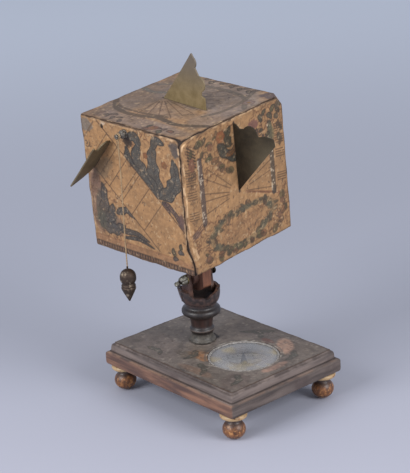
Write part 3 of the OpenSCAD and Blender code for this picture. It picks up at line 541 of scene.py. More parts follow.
class Print:
    """The colour at each point of a sheet. A stroke's cover is 1 inside, 0 outside, and slopes over the
    width of one cell between them."""

    def __init__(self, u, v, paper, cell=None):
        self.u, self.v = u.ravel(), v.ravel()
        self.cell = cell or float(np.abs(np.diff(u, axis=1)).mean())
        self.colour = np.ones((u.size, 3)) * (np.array(paper) / 255)

    def lay(self, where, cover, colour, strength=1.0):
        """Covers part of the sheet with a colour, given as it looks."""
        share = (np.clip(cover, 0, 1) * strength)[:, None]
        self.colour[where] += (np.array(colour) / 255 - self.colour[where]) * share

    def soak(self, cover, colour, strength=1.0):
        """Covers the whole sheet."""
        self.lay(slice(None), cover, colour, strength)

    def within(self, depth):
        """The cover of a stroke at points that lie so deep inside its outline."""
        return np.clip(0.5 + depth / self.cell, 0, 1)

    def patches(self, where, size, seed, octaves=3):
        """Cloudy noise at some of the sheet's points."""
        return cloud(self.u[where], self.v[where], size, seed, octaves)

    def near(self, points, reach):
        """The points of the sheet no farther than reach from the box round some points."""
        low, high = np.min(points, 0) - reach, np.max(points, 0) + reach
        inside_u = (self.u > low[0]) & (self.u < high[0])
        return np.flatnonzero(inside_u & (self.v > low[1]) & (self.v < high[1]))

    def around(self, at, reach, turn=0.0):
        """The points near a spot, and how far from it they are along two directions turned by an angle."""
        where = self.near([at], reach)
        c, s = math.cos(turn), math.sin(turn)
        du, dv = self.u[where] - at[0], self.v[where] - at[1]
        return where, du * c + dv * s, dv * c - du * s

    def follow(self, points, reach):
        """For the points near a line: how far off it they are, to which side, and how far along."""
        line = np.array(points, float)
        where = self.near(line, reach)
        spot = np.stack([self.u[where], self.v[where]], 1)
        step = np.diff(line, axis=0)
        length = np.maximum(np.hypot(*step.T), 1e-9)
        run = np.concatenate([[0], np.cumsum(length)])
        off, side, along = np.full(len(where), 1e9), np.zeros(len(where)), np.zeros(len(where))
        for k in range(len(step)):
            rel = spot - line[k]
            t = np.clip(rel @ step[k] / length[k] ** 2, 0, 1)
            d = np.hypot(*(rel - t[:, None] * step[k]).T)
            closer = d < off
            off[closer] = d[closer]
            side[closer] = np.sign(step[k][0] * rel[closer, 1] - step[k][1] * rel[closer, 0])
            along[closer] = run[k] + t[closer] * length[k]
        return where, off, side, along, run[-1]

    def line(self, points, width=0.4, colour=(62, 48, 40), strength=0.9):
        """A drawn line, which takes more or less ink along its way."""
        where, off, *_ = self.follow(points, width + self.cell)
        cover = self.within(width / 2 - off) * (0.7 + 0.5 * self.patches(where, 2.5, 11, 2))
        self.lay(where, cover, colour, strength)

    def scuff(self, points, width, colour, seed, strength=0.9):
        """A rubbed streak along a line, which comes and goes and changes its width."""
        where, off, *_ = self.follow(points, width * 1.6 + self.cell)
        half = width / 2 * (0.4 + 1.3 * self.patches(where, 2.4, seed, 2))
        coming = np.clip((self.patches(where, 3.4, seed + 3) - 0.42) * 7, 0, 1)
        self.lay(where, self.within(half - off) * coming, colour, strength)

    def band(self, points, width, colour, strength=0.7, pitch=0.0, slant=0.0, line=0.35, ink=(64, 50, 42)):
        """A ribbon of colour along a line, crossed at every pitch by a line, and with both edges drawn."""
        where, off, side, along, _ = self.follow(points, width)
        inside = self.within(width / 2 - off + (self.patches(where, 1.6, 23, 2) - 0.5) * 0.5)
        self.lay(where, inside, colour, strength)
        if pitch:
            across = np.abs((along + slant * off * side) % pitch - pitch / 2)
            self.lay(where, np.minimum(inside, self.within(line / 2 - across)), ink, 0.75)
        self.lay(where, self.within(line / 2 - np.abs(off - width / 2)), ink, 0.55)

    def leaf(self, points, width, colour, strength=0.8, lobes=0.0, veins=1.3, ink=(50, 44, 42), blunt=0.75):
        """A leaf about a midrib: its half width rises and falls as a sine along the rib and waves with
        the lobes. Slanting veins run from the rib to the edge; paler and bare patches show its age."""
        where, off, side, along, length = self.follow(points, width)
        t = along / length
        half = width / 2 * np.sin(np.pi * t ** blunt) ** 0.55
        half = half * (1 - 0.2 * np.cos(2 * np.pi * (lobes * t + 0.15 * side)) * (lobes > 0))
        inside = self.within(half - off)
        self.lay(where, inside, colour, strength)
        self.lay(where, inside * (self.patches(where, 2.2, 47) * 3 - 1.3), np.array(colour) * 0.75 + 38, 0.6)
        self.lay(where, inside * (self.patches(where, 1.3, 53) * 5 - 3.1), (156, 124, 94), 0.6)
        self.lay(where, np.minimum(inside, self.within(0.16 - off)), ink, 0.6)
        if veins:
            slanting = np.abs((along - 0.8 * off) % veins - veins / 2)
            self.lay(where, np.minimum(inside, self.within(0.14 - slanting)), ink, 0.6)
        self.lay(where, inside * (self.patches(where, 0.9, 59, 2) * 6 - 3.6), ink, 0.45)
        self.lay(where, self.within(0.3 - np.abs(half - off)), ink, 0.95)

    def bud(self, at, long, wide, turn, colour):
        """A small round leaf: an oval with a drawn edge, a rib and one shaded half."""
        where, du, dv = self.around(at, max(long, wide) * 1.3, turn)
        off = (np.hypot(du / long, dv / wide) - 1) * min(long, wide)
        inside, ink = self.within(-off), (56, 48, 40)
        self.lay(where, inside, colour, 0.65)
        self.lay(where, inside * (dv < 0), ink, 0.3)
        self.lay(where, np.minimum(inside, self.within(0.16 - np.abs(dv))), ink, 0.6)
        self.lay(where, self.within(0.22 - np.abs(off)), ink, 0.6)

    def curl(self, start, radius, facing, hand):
        """A scroll: a spiral that leaves start and winds in on itself a little more than once."""
        t = np.linspace(0, 1, 34)
        a = facing - hand * math.pi / 2 + hand * 2 * math.pi * 1.3 * t
        r = radius * (1 - 0.85 * t)
        middle = np.array(start) - radius * np.array([math.cos(a[0]), math.sin(a[0])])
        self.line(np.column_stack([middle[0] + r * np.cos(a), middle[1] + r * np.sin(a)]), 0.55, (74, 60, 50))

    def flower(self, at, radius, colour, petals=5):
        """A blossom: its edge swells once for each petal, and spokes run from a yellow heart."""
        where, du, dv = self.around(at, radius * 1.4)
        off, a = np.hypot(du, dv), np.arctan2(dv, du)
        edge_r = radius * (0.86 + 0.16 * np.abs(np.cos(petals * a / 2)))
        ink = (84, 56, 44)
        self.lay(where, self.within(edge_r - off), colour, 0.75)
        self.lay(where, self.within(0.17 - np.abs(edge_r - off)), ink, 0.7)
        self.lay(where, self.within(radius * 0.3 - off), (150, 112, 60), 0.8)
        spokes = self.within(0.12 - off * np.abs(np.sin(petals * a / 2)) / petals)
        self.lay(where, np.minimum(spokes, self.within(edge_r * 0.9 - off)), ink, 0.35)

    def wash(self, at, size, colour, strength=0.6, ragged=0.5, seed=31, turn=0.0):
        """A stain with a soft uneven edge, as far from at as size says along u and v."""
        where, du, dv = self.around(at, max(size) * 1.6, math.radians(turn))
        off = np.hypot(du / size[0], dv / size[1])
        off = off + ragged * (self.patches(where, max(size) * 0.5, seed, 4) - 0.5) * 2
        self.lay(where, (1.15 - off) / 0.3, colour, strength)

    def numeral(self, at, text, size, turn=0.0):
        """Roman hour figures, from strokes in a box one unit high."""
        strokes = {"I": ([[(0.15, 0), (0.15, 1)]], 0.34), "V": ([[(0, 1), (0.3, 0), (0.6, 1)]], 0.72),
                   "X": ([[(0, 1), (0.6, 0)], [(0, 0), (0.6, 1)]], 0.72)}
        c, s = math.cos(math.radians(turn)), math.sin(math.radians(turn))
        x = -sum(strokes[letter][1] for letter in text) / 2
        for letter in text:
            for stroke in strokes[letter][0]:
                flat = [((x + px) * size, (py - 0.5) * size) for px, py in stroke]
                self.line([(at[0] + px * c - py * s, at[1] + px * s + py * c) for px, py in flat],
                          size * 0.14, (60, 46, 40), 0.85)
            x += strokes[letter][1]

    def aged(self, seed, grime, near_edge, pale=(190, 170, 146), torn=0.85):
        """Fades and soils the sheet: blotches, worn spots where the paper shows, specks and dirty edges.
        near_edge is how far each point is from the edge, where the fibres show pale for a stretch, then
        dark with dirt."""
        u, v = self.u, self.v
        self.soak(cloud(u, v, 14, seed, 4) * 1.6 - 0.66, grime, 0.4)
        self.soak(cloud(u, v, 3.0, seed + 5, 3) * 2 - 0.85, np.array(grime) * 0.75, 0.3)
        self.soak((cloud(u, v, 1.5, seed + 9, 2) - 0.72) * 9, pale, 0.55)
        self.soak((cloud(u, v, 1.2, seed + 13, 2) - 0.76) * 9, (58, 46, 42), 0.6)
        near_edge = np.maximum(near_edge, 0)
        self.soak((2.2 - near_edge) / 3 + cloud(u, v, 5, seed + 17) - 0.55, np.array(grime) * 0.8, 0.5)
        self.soak((0.2 + 0.9 * cloud(u, v, 3, seed + 19) - near_edge) / 0.4, (74, 56, 46), 0.75)
        patch = np.clip((cloud(u, v, 8, seed + 25, 2) - 0.62) * 8, 0, 1)
        fray = (0.2 + 1.5 * (cloud(u, v, 2.6, seed + 21, 3) - 0.4)) * patch
        self.soak((fray - near_edge) / 0.3 * (patch > 0), (186, 158, 126), torn)

    def linear(self):
        """The colours as a shader takes them."""
        c = np.clip(self.colour, 0, 1)
        return np.where(c <= 0.04045, c / 12.92, ((c + 0.055) / 1.055) ** 2.4)


def smooth_line(points, count=28):
    """A curve through the given points: each stretch is a Catmull-Rom cubic."""
    p = np.array(points, float)
    p = np.vstack([2 * p[0] - p[1], p, 2 * p[-1] - p[-2]])
    t = np.linspace(0, len(points) - 1 - 1e-9, count)
    i = t.astype(int)
    s = (t - i)[:, None]
    a, b, c, d = p[i], p[i + 1], p[i + 2], p[i + 3]
    curve = 2 * b + (c - a) * s + (2 * a - 5 * b + 4 * c - d) * s ** 2 + (3 * b - a - 3 * c + d) * s ** 3
    return 0.5 * curve


def two_ways(angle):
    """A direction in the plane of a sheet, and the one that is square to it."""
    return np.array([math.cos(angle), math.sin(angle)]), np.array([-math.sin(angle), math.cos(angle)])


def pasted(front, back, keep):
    """A closed sheet: the kept cells of the front grid, the same cells of the back grid seen from behind,
    and a wall along every edge that only one kept cell has. Also which point of the grid each one is."""
    total = front.shape[0] * front.shape[1]
    index = np.arange(total).reshape(front.shape[:2])
    cells = np.stack([index[:-1, :-1], index[:-1, 1:], index[1:, 1:], index[1:, :-1]], -1)[keep]
    sides = np.stack([cells, np.roll(cells, -1, 1)], -1).reshape(-1, 2)
    key = np.sort(sides, 1) @ [total, 1]
    _, first, times = np.unique(key, return_index=True, return_counts=True)
    start, end = sides[first[times == 1]].T
    walls = np.stack([start, start + total, end + total, end], 1)
    faces = np.vstack([cells, cells[:, ::-1] + total, walls])
    used, faces = np.unique(faces, return_inverse=True)
    points = np.vstack([front.reshape(-1, 3), back.reshape(-1, 3)])[used]
    return (points, faces.reshape(-1, 4).tolist()), used % total


def paint(thing, colour):
    """Gives a mesh its print, as a colour at each point."""
    layer = thing.data.color_attributes.new("print", "FLOAT_COLOR", "POINT")
    colour = np.column_stack([colour, np.ones(len(colour))])
    layer.data.foreach_set("color", colour.astype(np.float32).ravel())


def paper_finish(name, varnish):
    """Old printed paper: its print, fibres and fly spots, under a thin uneven varnish."""
    made = Finish(name, Specular_IOR_Level=0.35)
    fibre = made.noise(0.35, 3, 0.6)
    mottle = made.noise(2.2, 4, 0.6)
    tint = made.node("ShaderNodeMix", {"data_type": "RGBA"}, {
        0: mottle.between(0.35, 0.7), 6: (0.86, 0.85, 0.84), 7: (1.14, 1.14, 1.12)}, 2)
    print_colour = made.node("ShaderNodeAttribute", {"attribute_name": "print"}, None, "Color")
    colour = made.mix(1.0, print_colour, tint, "MULTIPLY")
    made.set("Base Color", made.mix(fibre.between(0.45, 0.85) * 0.14, colour, (206, 184, 152)))
    made.set("Roughness", varnish + 0.25 * mottle)
    made.relief(made.noise(0.9, 4, 0.65) * 0.8 + fibre * 0.5, 0.1)
    return made


# The base's paper covers the whole top of the board and is cut out for the column and the compass. Most
# of its print has gone grey-brown; pinkish under-paper shows where the surface has been lost.
BASE_PAPER_T = 0.2
COLUMN = np.array([-15.2, 0])
HALF_L, HALF_W = 48.7, 36.7
u, v = np.meshgrid(np.linspace(-HALF_L, HALF_L, 216), np.linspace(-HALF_W, HALF_W, 164))
ragged = (cloud(u, v, 4, 41) - 0.5) * 0.7
u, v = (p - ragged * (np.abs(p) / half) ** 30 * np.sign(p) for p, half in ((u, HALF_L), (v, HALF_W)))


def cut_round(u, v, centre, radius):
    """Draws the points within a cell of a round hole onto its edge, and says which cells are left."""
    du, dv = u - centre[0], v - centre[1]
    off = np.maximum(np.hypot(du, dv), 1e-9)
    cell = u[0, 1] - u[0, 0]
    close = np.abs(off - radius) < 0.62 * cell
    u[close] = centre[0] + (du / off * radius)[close]
    v[close] = centre[1] + (dv / off * radius)[close]
    inside = off < radius - 0.62 * cell
    return ~(inside[:-1, :-1] | inside[1:, :-1] | inside[:-1, 1:] | inside[1:, 1:])


keep = cut_round(u, v, COMPASS, RING_R + 0.1) & cut_round(u, v, COLUMN, 7.9)
GREEN_INK, GREY_INK = (70, 72, 66), (84, 80, 82)
sheet = Print(u, v, (116, 106, 100))
away = np.hypot(sheet.u - COMPASS[0], sheet.v - COMPASS[1])
for at, size, colour, strength in (
        ((-36, 8), (22, 34), (104, 98, 96), 0.7), ((-26, -24), (20, 12), (112, 100, 96), 0.6),
        ((4, 28), (22, 9), (96, 88, 86), 0.6), ((26, -29), (20, 7), (100, 92, 86), 0.6),
        ((2, -15.5), (8, 5.5), (158, 112, 80), 0.85), ((14, -31), (13, 3), (128, 100, 84), 0.6),
        ((-6, -21), (7, 4), (92, 80, 68), 0.6), ((14.5, 21.5), (4.5, 2.5), (100, 66, 60), 0.75),
        ((-8, -11), (8, 3), (118, 106, 96), 0.6), ((40, -26), (8, 9), (98, 84, 80), 0.6),
        ((-40, -30), (9, 5), (98, 88, 84), 0.5), ((36, 27), (8, 6), (92, 82, 76), 0.5)):
    sheet.wash(at, size, colour, strength, seed=int(at[0] + 90))
for start, end, reach in (
        ((8, 34), (-6, 20), 3.6), ((-2, 26), (9, 21), 3.4), ((-6, -14), (-2, -26), 3.8),
        ((26, 18), (36, 12), 3.6), ((34, 22), (41, 10), 3.6), ((-30, -28), (-16, -31), 3.2),
        ((8, -24), (20, -33), 3.4), ((34, -20), (42, -31), 3.4), ((-42, 24), (-34, 31), 3.2)):
    bend = ((start[0] + end[0]) / 2 + 2, (start[1] + end[1]) / 2 + 2)
    sheet.leaf(smooth_line([start, bend, end], 16), reach, GREEN_INK, 0.55, 3, 1.6, (62, 58, 54))
sheet.wash((27, 23.5), (10.2, 5.0), (176, 142, 124), 1.0, 0.22, 57, -38)
sheet.wash((42.2, 0.5), (3.0, 9.5), (160, 128, 114), 0.9, 0.35, 59)
sheet.wash((15, -21.4), (1.6, 0.9), (206, 198, 184), 1.0, 0.3, 60)
heart = np.array([27, 23.5])
for k in range(9):
    ray = two_ways(math.radians(40 * k + 10))[0]
    sheet.line([heart + 3 * ray, heart + ray * [7, 5]], 0.5, (112, 84, 76), 0.7)
sheet.soak(0.5 + (0.3 - np.abs(away - 21.4)) / 0.4, GREY_INK, 0.7)
sheet.soak((22.4 - away) / 1.0, (116, 108, 100), 0.35)
sheet.soak((cloud(sheet.u, sheet.v, 1.8, 77, 2) - 0.45) * 4 * (away < 20.7), (190, 184, 176), 0.8)
by_column = np.hypot(sheet.u - COLUMN[0], sheet.v - COLUMN[1])
angle = np.degrees(np.arctan2(sheet.v, sheet.u - COLUMN[0]))
# Near-black slits round the column's foot are painted shade: the cuts in the paper are not modelled, only
# their dark.
shaded_slits = (np.abs(np.abs(angle - 20) - 62) < 34) & (by_column < 9.0 + 0.8 * cloud(angle, angle * 0, 9, 5))
sheet.soak(shaded_slits * 1.0, (22, 18, 18), 0.95)
worn_round = (by_column > 9.2) & (by_column < 11.0) & (np.abs(angle + 45) < 60)
sheet.soak(worn_round * 0.9, (134, 122, 114), 0.7)
sheet.soak(cloud(sheet.u, sheet.v, 5, 141, 4) * 3.4 - 1.9, (66, 60, 58), 0.55)
sheet.soak(cloud(sheet.u, sheet.v, 3.5, 143, 4) * 3.6 - 2.2, (144, 132, 122), 0.5)
near_edge = np.minimum(HALF_L - np.abs(sheet.u), HALF_W - np.abs(sheet.v))
sheet.aged(61, (78, 70, 68), near_edge, (152, 142, 134), 0.25)
lift = 0.12 * cloud(u, v, 7, 83) - 0.5 * np.clip((9.2 - np.hypot(u - COLUMN[0], v)) / 2, 0, 0.3)
front = np.stack([u, v, BOARD_Z + BASE_PAPER_T + lift], -1)
shape, source = pasted(front, np.stack([u, v, BOARD_Z + 0.02 + 0 * u], -1), keep)
base_sheet = piece("base_paper_sheet", "base_paper", "stand", shape,
                   paper_finish("base_print", 0.42), 50)
paint(base_sheet, sheet.linear()[source])


# The compass. A printed card lies at the bottom of the well round a steel pivot, a blued needle turns
# on it under a brass cap, and a thin old glass is held down by a ring of pale paper-covered board.
CARD_Z, CARD_T, CARD_R = 21.05, 0.38, 18.8
reach = np.linspace(CARD_R, 0, 60)
card_shape = turned([(0, -CARD_T), (CARD_R, -CARD_T), *zip(reach, 0 * reach)], 180, [*COMPASS, CARD_Z])
card_print = Print(card_shape[0][:, 0] - COMPASS[0], card_shape[0][:, 1] - COMPASS[1], (222, 216, 206), 0.3)
card_print.wash((11, 1), (10, 9), (230, 218, 176), 0.9, 0.3, 3)
card_print.wash((-10, 4), (8, 10), (196, 200, 212), 0.7, 0.4, 4)
card_print.wash((2, 12), (9, 4), (176, 172, 196), 0.5, 0.4, 6)
POINTS_OF_COMPASS = 16
for k in range(POINTS_OF_COMPASS):
    long_point = 12.5 if k % 4 == 0 else 9.5 if k % 2 == 0 else 7
    tip = long_point * two_ways(2 * math.pi * k / POINTS_OF_COMPASS)[0]
    card_print.leaf([(0, 0), tip], 3.4 if k % 4 == 0 else 2.4, (120, 124, 136) if k % 2 else (150, 112, 84),
                    0.35, 0, 0, (104, 98, 98), 0.5)
for radius in (13.6, 15.4, 17.6):
    circle = [radius * two_ways(t)[0] for t in np.linspace(0, 2 * math.pi, 49)]
    card_print.line(circle, 0.3, (72, 68, 72), 0.8)
for k in range(72):
    tick = two_ways(math.radians(5 * k))[0]
    card_print.line([(15.4 if k % 2 == 0 else 16.4) * tick, 17.6 * tick], 0.25, (72, 68, 72), 0.8)
card_print.aged(101, (164, 158, 150), 20 + 0 * card_print.u, (226, 222, 212), 0)
card = piece("compass_card_printed", "compass_card", "stand", card_shape,
             paper_finish("compass_card_paper", 0.5), 50)
paint(card, card_print.linear())


def metal(name, low, high, roughness, metallic=0.9, size=2.5, depth=0.05):
    """Old metal: two tones that meet in cloudy patches, with fine scratches and a duller tarnish."""
    made = Finish(name, Metallic=metallic)
    patch = made.noise(size, 4, 0.65).between(0.35, 0.68)
    fine = made.noise(0.35, 3, 0.6)
    made.set("Base Color", made.mix(patch * 0.8 + fine * 0.2, low, high))
    made.set("Roughness", roughness + 0.2 * fine - 0.12 * patch)
    made.relief(made.noise(size * 0.4, 3) + fine * 0.4, depth)
    return made


def repaint(node, finish):
    """A CAD piece keeps its shape and takes a finish."""
    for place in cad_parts[node].material_slots:
        place.material = finish.material


steel = metal("pin_steel", (120, 118, 116), (168, 166, 162), 0.3)
old_brass = metal("old_brass", (112, 100, 66), (168, 152, 104), 0.34, 0.9, 1.8)
repaint("compass_pivot", steel)
repaint("needle_cap", old_brass)

NEEDLE_L, NEEDLE_W, NEEDLE_T, NEEDLE_Z = 31, 4.2, 0.4, 23.85
NEEDLE_TURN = math.radians(-41)


def blade(stations, low, high, thickness, bevel, origin, out, across, bow=None, steps=18):
    """A plate with rounded edges. At each station along out, its section runs across from low to high;
    the section is a long box with its corners eased by bevel. bow moves a point off the plate by a
    length that depends on where it is on the plate. Both ends close flat."""
    stations, low, high = (np.asarray(x, float) for x in (stations, low, high))
    flat = np.linspace(-1, 1, steps)
    corner = np.radians(np.linspace(0, 90, 4))
    fractions = np.concatenate([flat, np.ones(8), flat[::-1], -np.ones(8)])
    c, s = np.cos(corner), np.sin(corner)
    lean = np.concatenate([0 * flat, s, c, 0 * flat, -s, -c])
    rise = np.concatenate([0 * flat + 1, c, -s, 0 * flat - 1, -c, s])
    side = np.concatenate([0 * flat + 1, np.ones(4), -np.ones(4), 0 * flat - 1, -np.ones(4), np.ones(4)])
    middle, half_w = (low + high) / 2, np.maximum((high - low) / 2 - bevel, 0.02)
    y = middle[:, None] + fractions[None] * half_w[:, None] + bevel * lean[None]
    z = np.broadcast_to((thickness / 2 - bevel) * side + bevel * rise, y.shape)
    x = np.broadcast_to(stations[:, None], y.shape)
    if bow is not None:
        z = z + bow(x, y)
    out, across = np.array(out, float), np.array(across, float)
    normal = np.cross(out, across)
    points = origin + x[..., None] * out + y[..., None] * across + z[..., None] * normal
    points, faces = capped(points, points[0].mean(0), points[-1].mean(0))
    return points, [face[::-1] for face in faces]


blued = Finish("blued_steel", Metallic=0.8)
north_half = (blued.along("X") - blued.along("Y") - (COMPASS[0] - COMPASS[1])).between(-1, 1)
blued.set("Base Color", blued.mix(north_half, (96, 98, 106), (24, 32, 46)))
blued.set("Roughness", 0.32 + 0.2 * blued.noise(1, 3))
blued.relief(blued.noise(0.5, 3), 0.03)
reach = np.linspace(-NEEDLE_L / 2 + 0.3, NEEDLE_L / 2 - 0.3, 41)
half_needle = np.maximum(NEEDLE_W / 2 * (1 - np.abs(reach) / (NEEDLE_L / 2)), 0.14)
half_needle = np.where(reach > 0, np.interp(reach, [0, 11.5, NEEDLE_L / 2], [1.2, 2.7, 0.15]), half_needle)
half_needle = np.maximum(half_needle, np.sqrt(np.maximum(1.8 ** 2 - reach ** 2, 0)))
direction = (math.cos(NEEDLE_TURN), math.sin(NEEDLE_TURN), 0)
needle_at = np.array([*COMPASS, NEEDLE_Z + NEEDLE_T / 2])
piece("compass_needle_filed", "compass_needle", "needle", blade(
    reach, -half_needle, half_needle, NEEDLE_T, 0.1, needle_at, direction,
    (-direction[1], direction[0], 0)), blued, 35)

glass = Finish("old_glass", IOR=1.5)
dusty = glass.noise(9, 4, 0.6).between(0.3, 0.75)
rim_dust = glass.from_axis(*COMPASS).between(4, 19)
cream = glass.noise(14, 3, 0.5, shift=(0.02, 0.01, 0)).between(0.45, 0.62)
film = glass.mix(cream, (176, 178, 184), (206, 194, 168))
glass.set("Base Color", glass.mix(dusty * 0.45, film, (142, 128, 120)))
glass.set("Alpha", 0.12 + 0.18 * dusty + 0.34 * rim_dust)
glass.set("Roughness", 0.12 + 0.15 * dusty)
repaint("compass_glass", glass)

RING_SIDES = 176
a = np.linspace(0, 2 * np.pi, RING_SIDES, endpoint=False)
scallop = 0.22 * np.abs(np.sin(a * 22)) + 0.25 * cloud(np.cos(a) * 20, np.sin(a) * 20, 3, 19)
section = [(18.75, 0, 0), (18.7, 0.3, -1), (18.95, 0.72, -0.7), (19.35, 0.86, 0), (19.75, 0.62, 0.2),
           (19.88, 0.15, 0), (19.86, 0, 0)]
ring_rows = []
for r, z, w in section:
    r = r + w * scallop
    warped = 0.15 * (z > 0.4) * (cloud(a * 9, a * 0, 3, 29) - 0.5)
    ring_rows.append(np.column_stack([COMPASS[0] + r * np.cos(a), COMPASS[1] + r * np.sin(a),
                                      GLASS_Z + 1.2 + z + warped]))
ring_points = np.vstack(ring_rows)
ring_faces = quads(len(section) + 1, RING_SIDES)[:, ::-1] % len(ring_points)
pale_board = Finish("pale_board", Roughness=0.75)
flakes = pale_board.noise(1.3, 4, 0.7)
pale_board.set("Base Color", pale_board.mix(flakes.between(0.35, 0.7), (112, 106, 104), (168, 164, 160)))
pale_board.relief(flakes + pale_board.noise(0.4, 3) * 0.5, 0.14)
piece("compass_ring_scalloped", "compass_ring", "stand", (ring_points, ring_faces.tolist()),
      pale_board, 60)


# The column. One turning of dark polished hardwood: a flared foot, a bead, a tapering neck, a torus and
# a cup. The cup has split and spread to one side, and its rim is broken where the wood has given way.
TORUS_H, TORUS_M, TORUS_R = 18, 2.35, 11
CUP_LOW, CUP_FLOOR, CUP_R, CUP_RIM = 23, 25, 11.2, 31.7
CUP_LOW_R, BOWL_Z, OUT_STEPS = 8.85, 29.8, 15
PIN_RISE, SCOOP_R = 38.8, 9
SPREAD = np.array([-0.652, -0.758]) * 1.5
SIDES = 120
theta = np.linspace(0, 2 * np.pi, SIDES, endpoint=False)
stem_profile = eased([
    (7.6, 0), (7.65, 0.5), (7.4, 1.0), *arc(7.9, 4.6, 1.9, 3.7, 255, 182, 8), (6.05, 5.0), (6.3, 5.3),
    *arc(6.0, 6.7, 1.05, 1.35, -70, 70, 9), (6.1, 8.3), (5.95, 9.2), (6.1, 10.6), (6.7, 13.8), (7.5, 14.8),
    (7.6, 15.4), *arc(TORUS_R - TORUS_M, TORUS_H, TORUS_M, TORUS_M, -88, 70, 16), (9.0, 20.6), (8.75, 21.1),
    (8.75, 21.8), (CUP_LOW_R, CUP_LOW)], 0.26, 2)
lower_rows = np.stack([stem_profile[:, 0, None] * np.cos(theta), stem_profile[:, 0, None] * np.sin(theta),
                       stem_profile[:, 1, None] + 0 * theta], -1)
broken = (cloud(theta * 20, theta * 0, 5, 71) - 0.5) * 1.3
north_west = np.exp(-((np.degrees(theta) - 62) / 16) ** 2)
spike = 1.1 * np.exp(-((np.degrees(theta) - 50) / 5) ** 2)
across_y = CUP_R * np.abs(np.sin(theta))
scooped = PIN_RISE - np.sqrt(np.maximum(SCOOP_R ** 2 - across_y ** 2, 0))
front_off = (np.degrees(theta) - 322 + 180) % 360 - 180
front_break = 3.2 * np.clip(1 - (np.abs(front_off) / 34) ** 4, 0, 1)
rim = np.minimum(CUP_RIM, np.where(across_y < 7.4, scooped, CUP_RIM))
rim = rim + broken * 0.5 + spike - 0.8 * north_west - front_break
cup_rows = []
for shares, low, top, least, wide in (
        (np.linspace(0, 1, OUT_STEPS + 1)[1:], CUP_LOW, rim, CUP_LOW_R, CUP_R),
        ((1, 0.9, 0.75, 0.55, 0.35, 0.15, 0), CUP_FLOOR, rim - 0.1, 0, 9.5)):
    for t in shares:
        z = low + (top - low) * t
        s = np.clip((z - low) / (BOWL_Z - low), 0, 1)
        r = np.maximum(least + (wide - least) * np.sqrt(1 - (1 - s) ** 2), 2.5)
        cup_rows.append(np.stack([r * np.cos(theta), r * np.sin(theta), z], -1))
cup_rows = np.array(cup_rows)
open_up = np.clip((cup_rows[..., 2:] - CUP_LOW) / 9, 0, 1.3) ** 1.4
leaning = 0.5 + 0.5 * np.cos(theta - math.radians(229.3))[None, :, None]
cup_rows[..., :2] += SPREAD * open_up * leaning
outer = (np.arange(len(cup_rows)) < OUT_STEPS)[:, None]
crack = np.exp(-((np.degrees(theta) - 262 + 3 * np.sin(cup_rows[..., 2])) / 2.2) ** 2)
crack = crack * ((cup_rows[..., 2] > 23.2) & outer)
radial = np.stack([np.cos(theta), np.sin(theta), 0 * theta], -1)
cup_rows -= 0.8 * crack[..., None] * radial
grid = np.vstack([lower_rows, cup_rows]) + [*COLUMN, BOARD_Z]
EAR_IN, EAR_OUT, EAR_R = 6.6, 9.8, 2.8
ears = []
for side, worn in ((-1, 0.45), (1, 0.12)):
    over_pin = EAR_R * np.sin(np.radians(np.linspace(8, 86, 12)))
    climb = np.concatenate([np.linspace(CUP_FLOOR - 0.4, PIN_RISE, 18), PIN_RISE + over_pin])
    taper = np.interp(climb, [CUP_FLOOR, CUP_RIM, PIN_RISE], [5, 4.6, EAR_R])
    taper = np.where(climb > PIN_RISE, np.sqrt(np.maximum(EAR_R ** 2 - (climb - PIN_RISE) ** 2, 0.05)), taper)
    chip = 0.3 * (cloud(climb, climb * 0 + side, 2, 37) - 0.5)
    left_of_it = np.interp(climb, [CUP_RIM - 1.5, CUP_RIM + 1.5], [max(worn, 0.45), worn])
    ears.append(blade(climb, -taper + chip, taper * left_of_it + chip, EAR_OUT - EAR_IN, 0.45,
                      np.array([COLUMN[0], side * (EAR_IN + EAR_OUT) / 2, BOARD_Z]), (0, 0, 1), (1, 0, 0)))

column_wood = Finish("column_wood", Coat_Weight=0.3, Coat_Roughness=0.28)
up = column_wood.height() - BOARD_Z
streak = column_wood.noise(2.2, 4, 0.6, stretch=(1, 1, 0.16))
neck_zone = up.between(8, 10) * (1 - up.between(14.5, 15.6))
foot_zone = 1 - up.between(3.6, 5.2)
cup_zone = up.between(21.5, 23)
grain = streak.between(0.3, 0.7)
dirt = column_wood.noise(1.6, 4, 0.6).between(0.35, 0.65)
worn = column_wood.noise(3, 4, 0.65).between(0.42, 0.62)
torn = up.between(29.2, 31.5) * column_wood.noise(1.1, 4, 0.7).between(0.5, 0.7)
from_axis = column_wood.from_axis(*COLUMN)
# Inside the cup the wood is painted dark at the floor as shade and lighter up the wall as light.
cup_inside_light_and_shade = (1 - from_axis.between(9.9, 10.6)) * up.between(24.6, 25.4)
bead_line = 1 - abs(up - 6.9).between(0.1, 0.45)
column_wood.set("Base Color", column_wood.layered(
    column_wood.mix(grain, (24, 19, 18), (46, 37, 34)),
    (neck_zone, column_wood.mix(grain, (34, 21, 19), (60, 38, 33))),
    (foot_zone * 0.85, column_wood.mix(dirt, (62, 58, 53), (90, 84, 76))),
    (cup_zone * 0.75, column_wood.mix(worn, (44, 34, 34), (88, 66, 60))),
    (torn * 0.7, (142, 108, 84)),
    (cup_inside_light_and_shade * 0.9, column_wood.mix(up.between(26.5, 30.5), (30, 21, 19), (98, 68, 56))),
    (up.between(31.0, 32.6) * 0.9, column_wood.mix(streak, (48, 30, 25), (80, 51, 41))),
    (bead_line * 0.4, (128, 112, 104))))
column_wood.set("Roughness", 0.5 + 0.2 * foot_zone + 0.15 * cup_zone)
column_wood.relief(column_wood.noise(0.8, 4, 0.6, stretch=(1, 1, 0.3)) + streak * 0.5, 0.1)
cup = capped(grid, [*COLUMN, BOARD_Z + 0.01], [*COLUMN, BOARD_Z + CUP_FLOOR - 0.3])
piece("column_turned", "column", "stand", joined(cup, *ears), column_wood, 42)


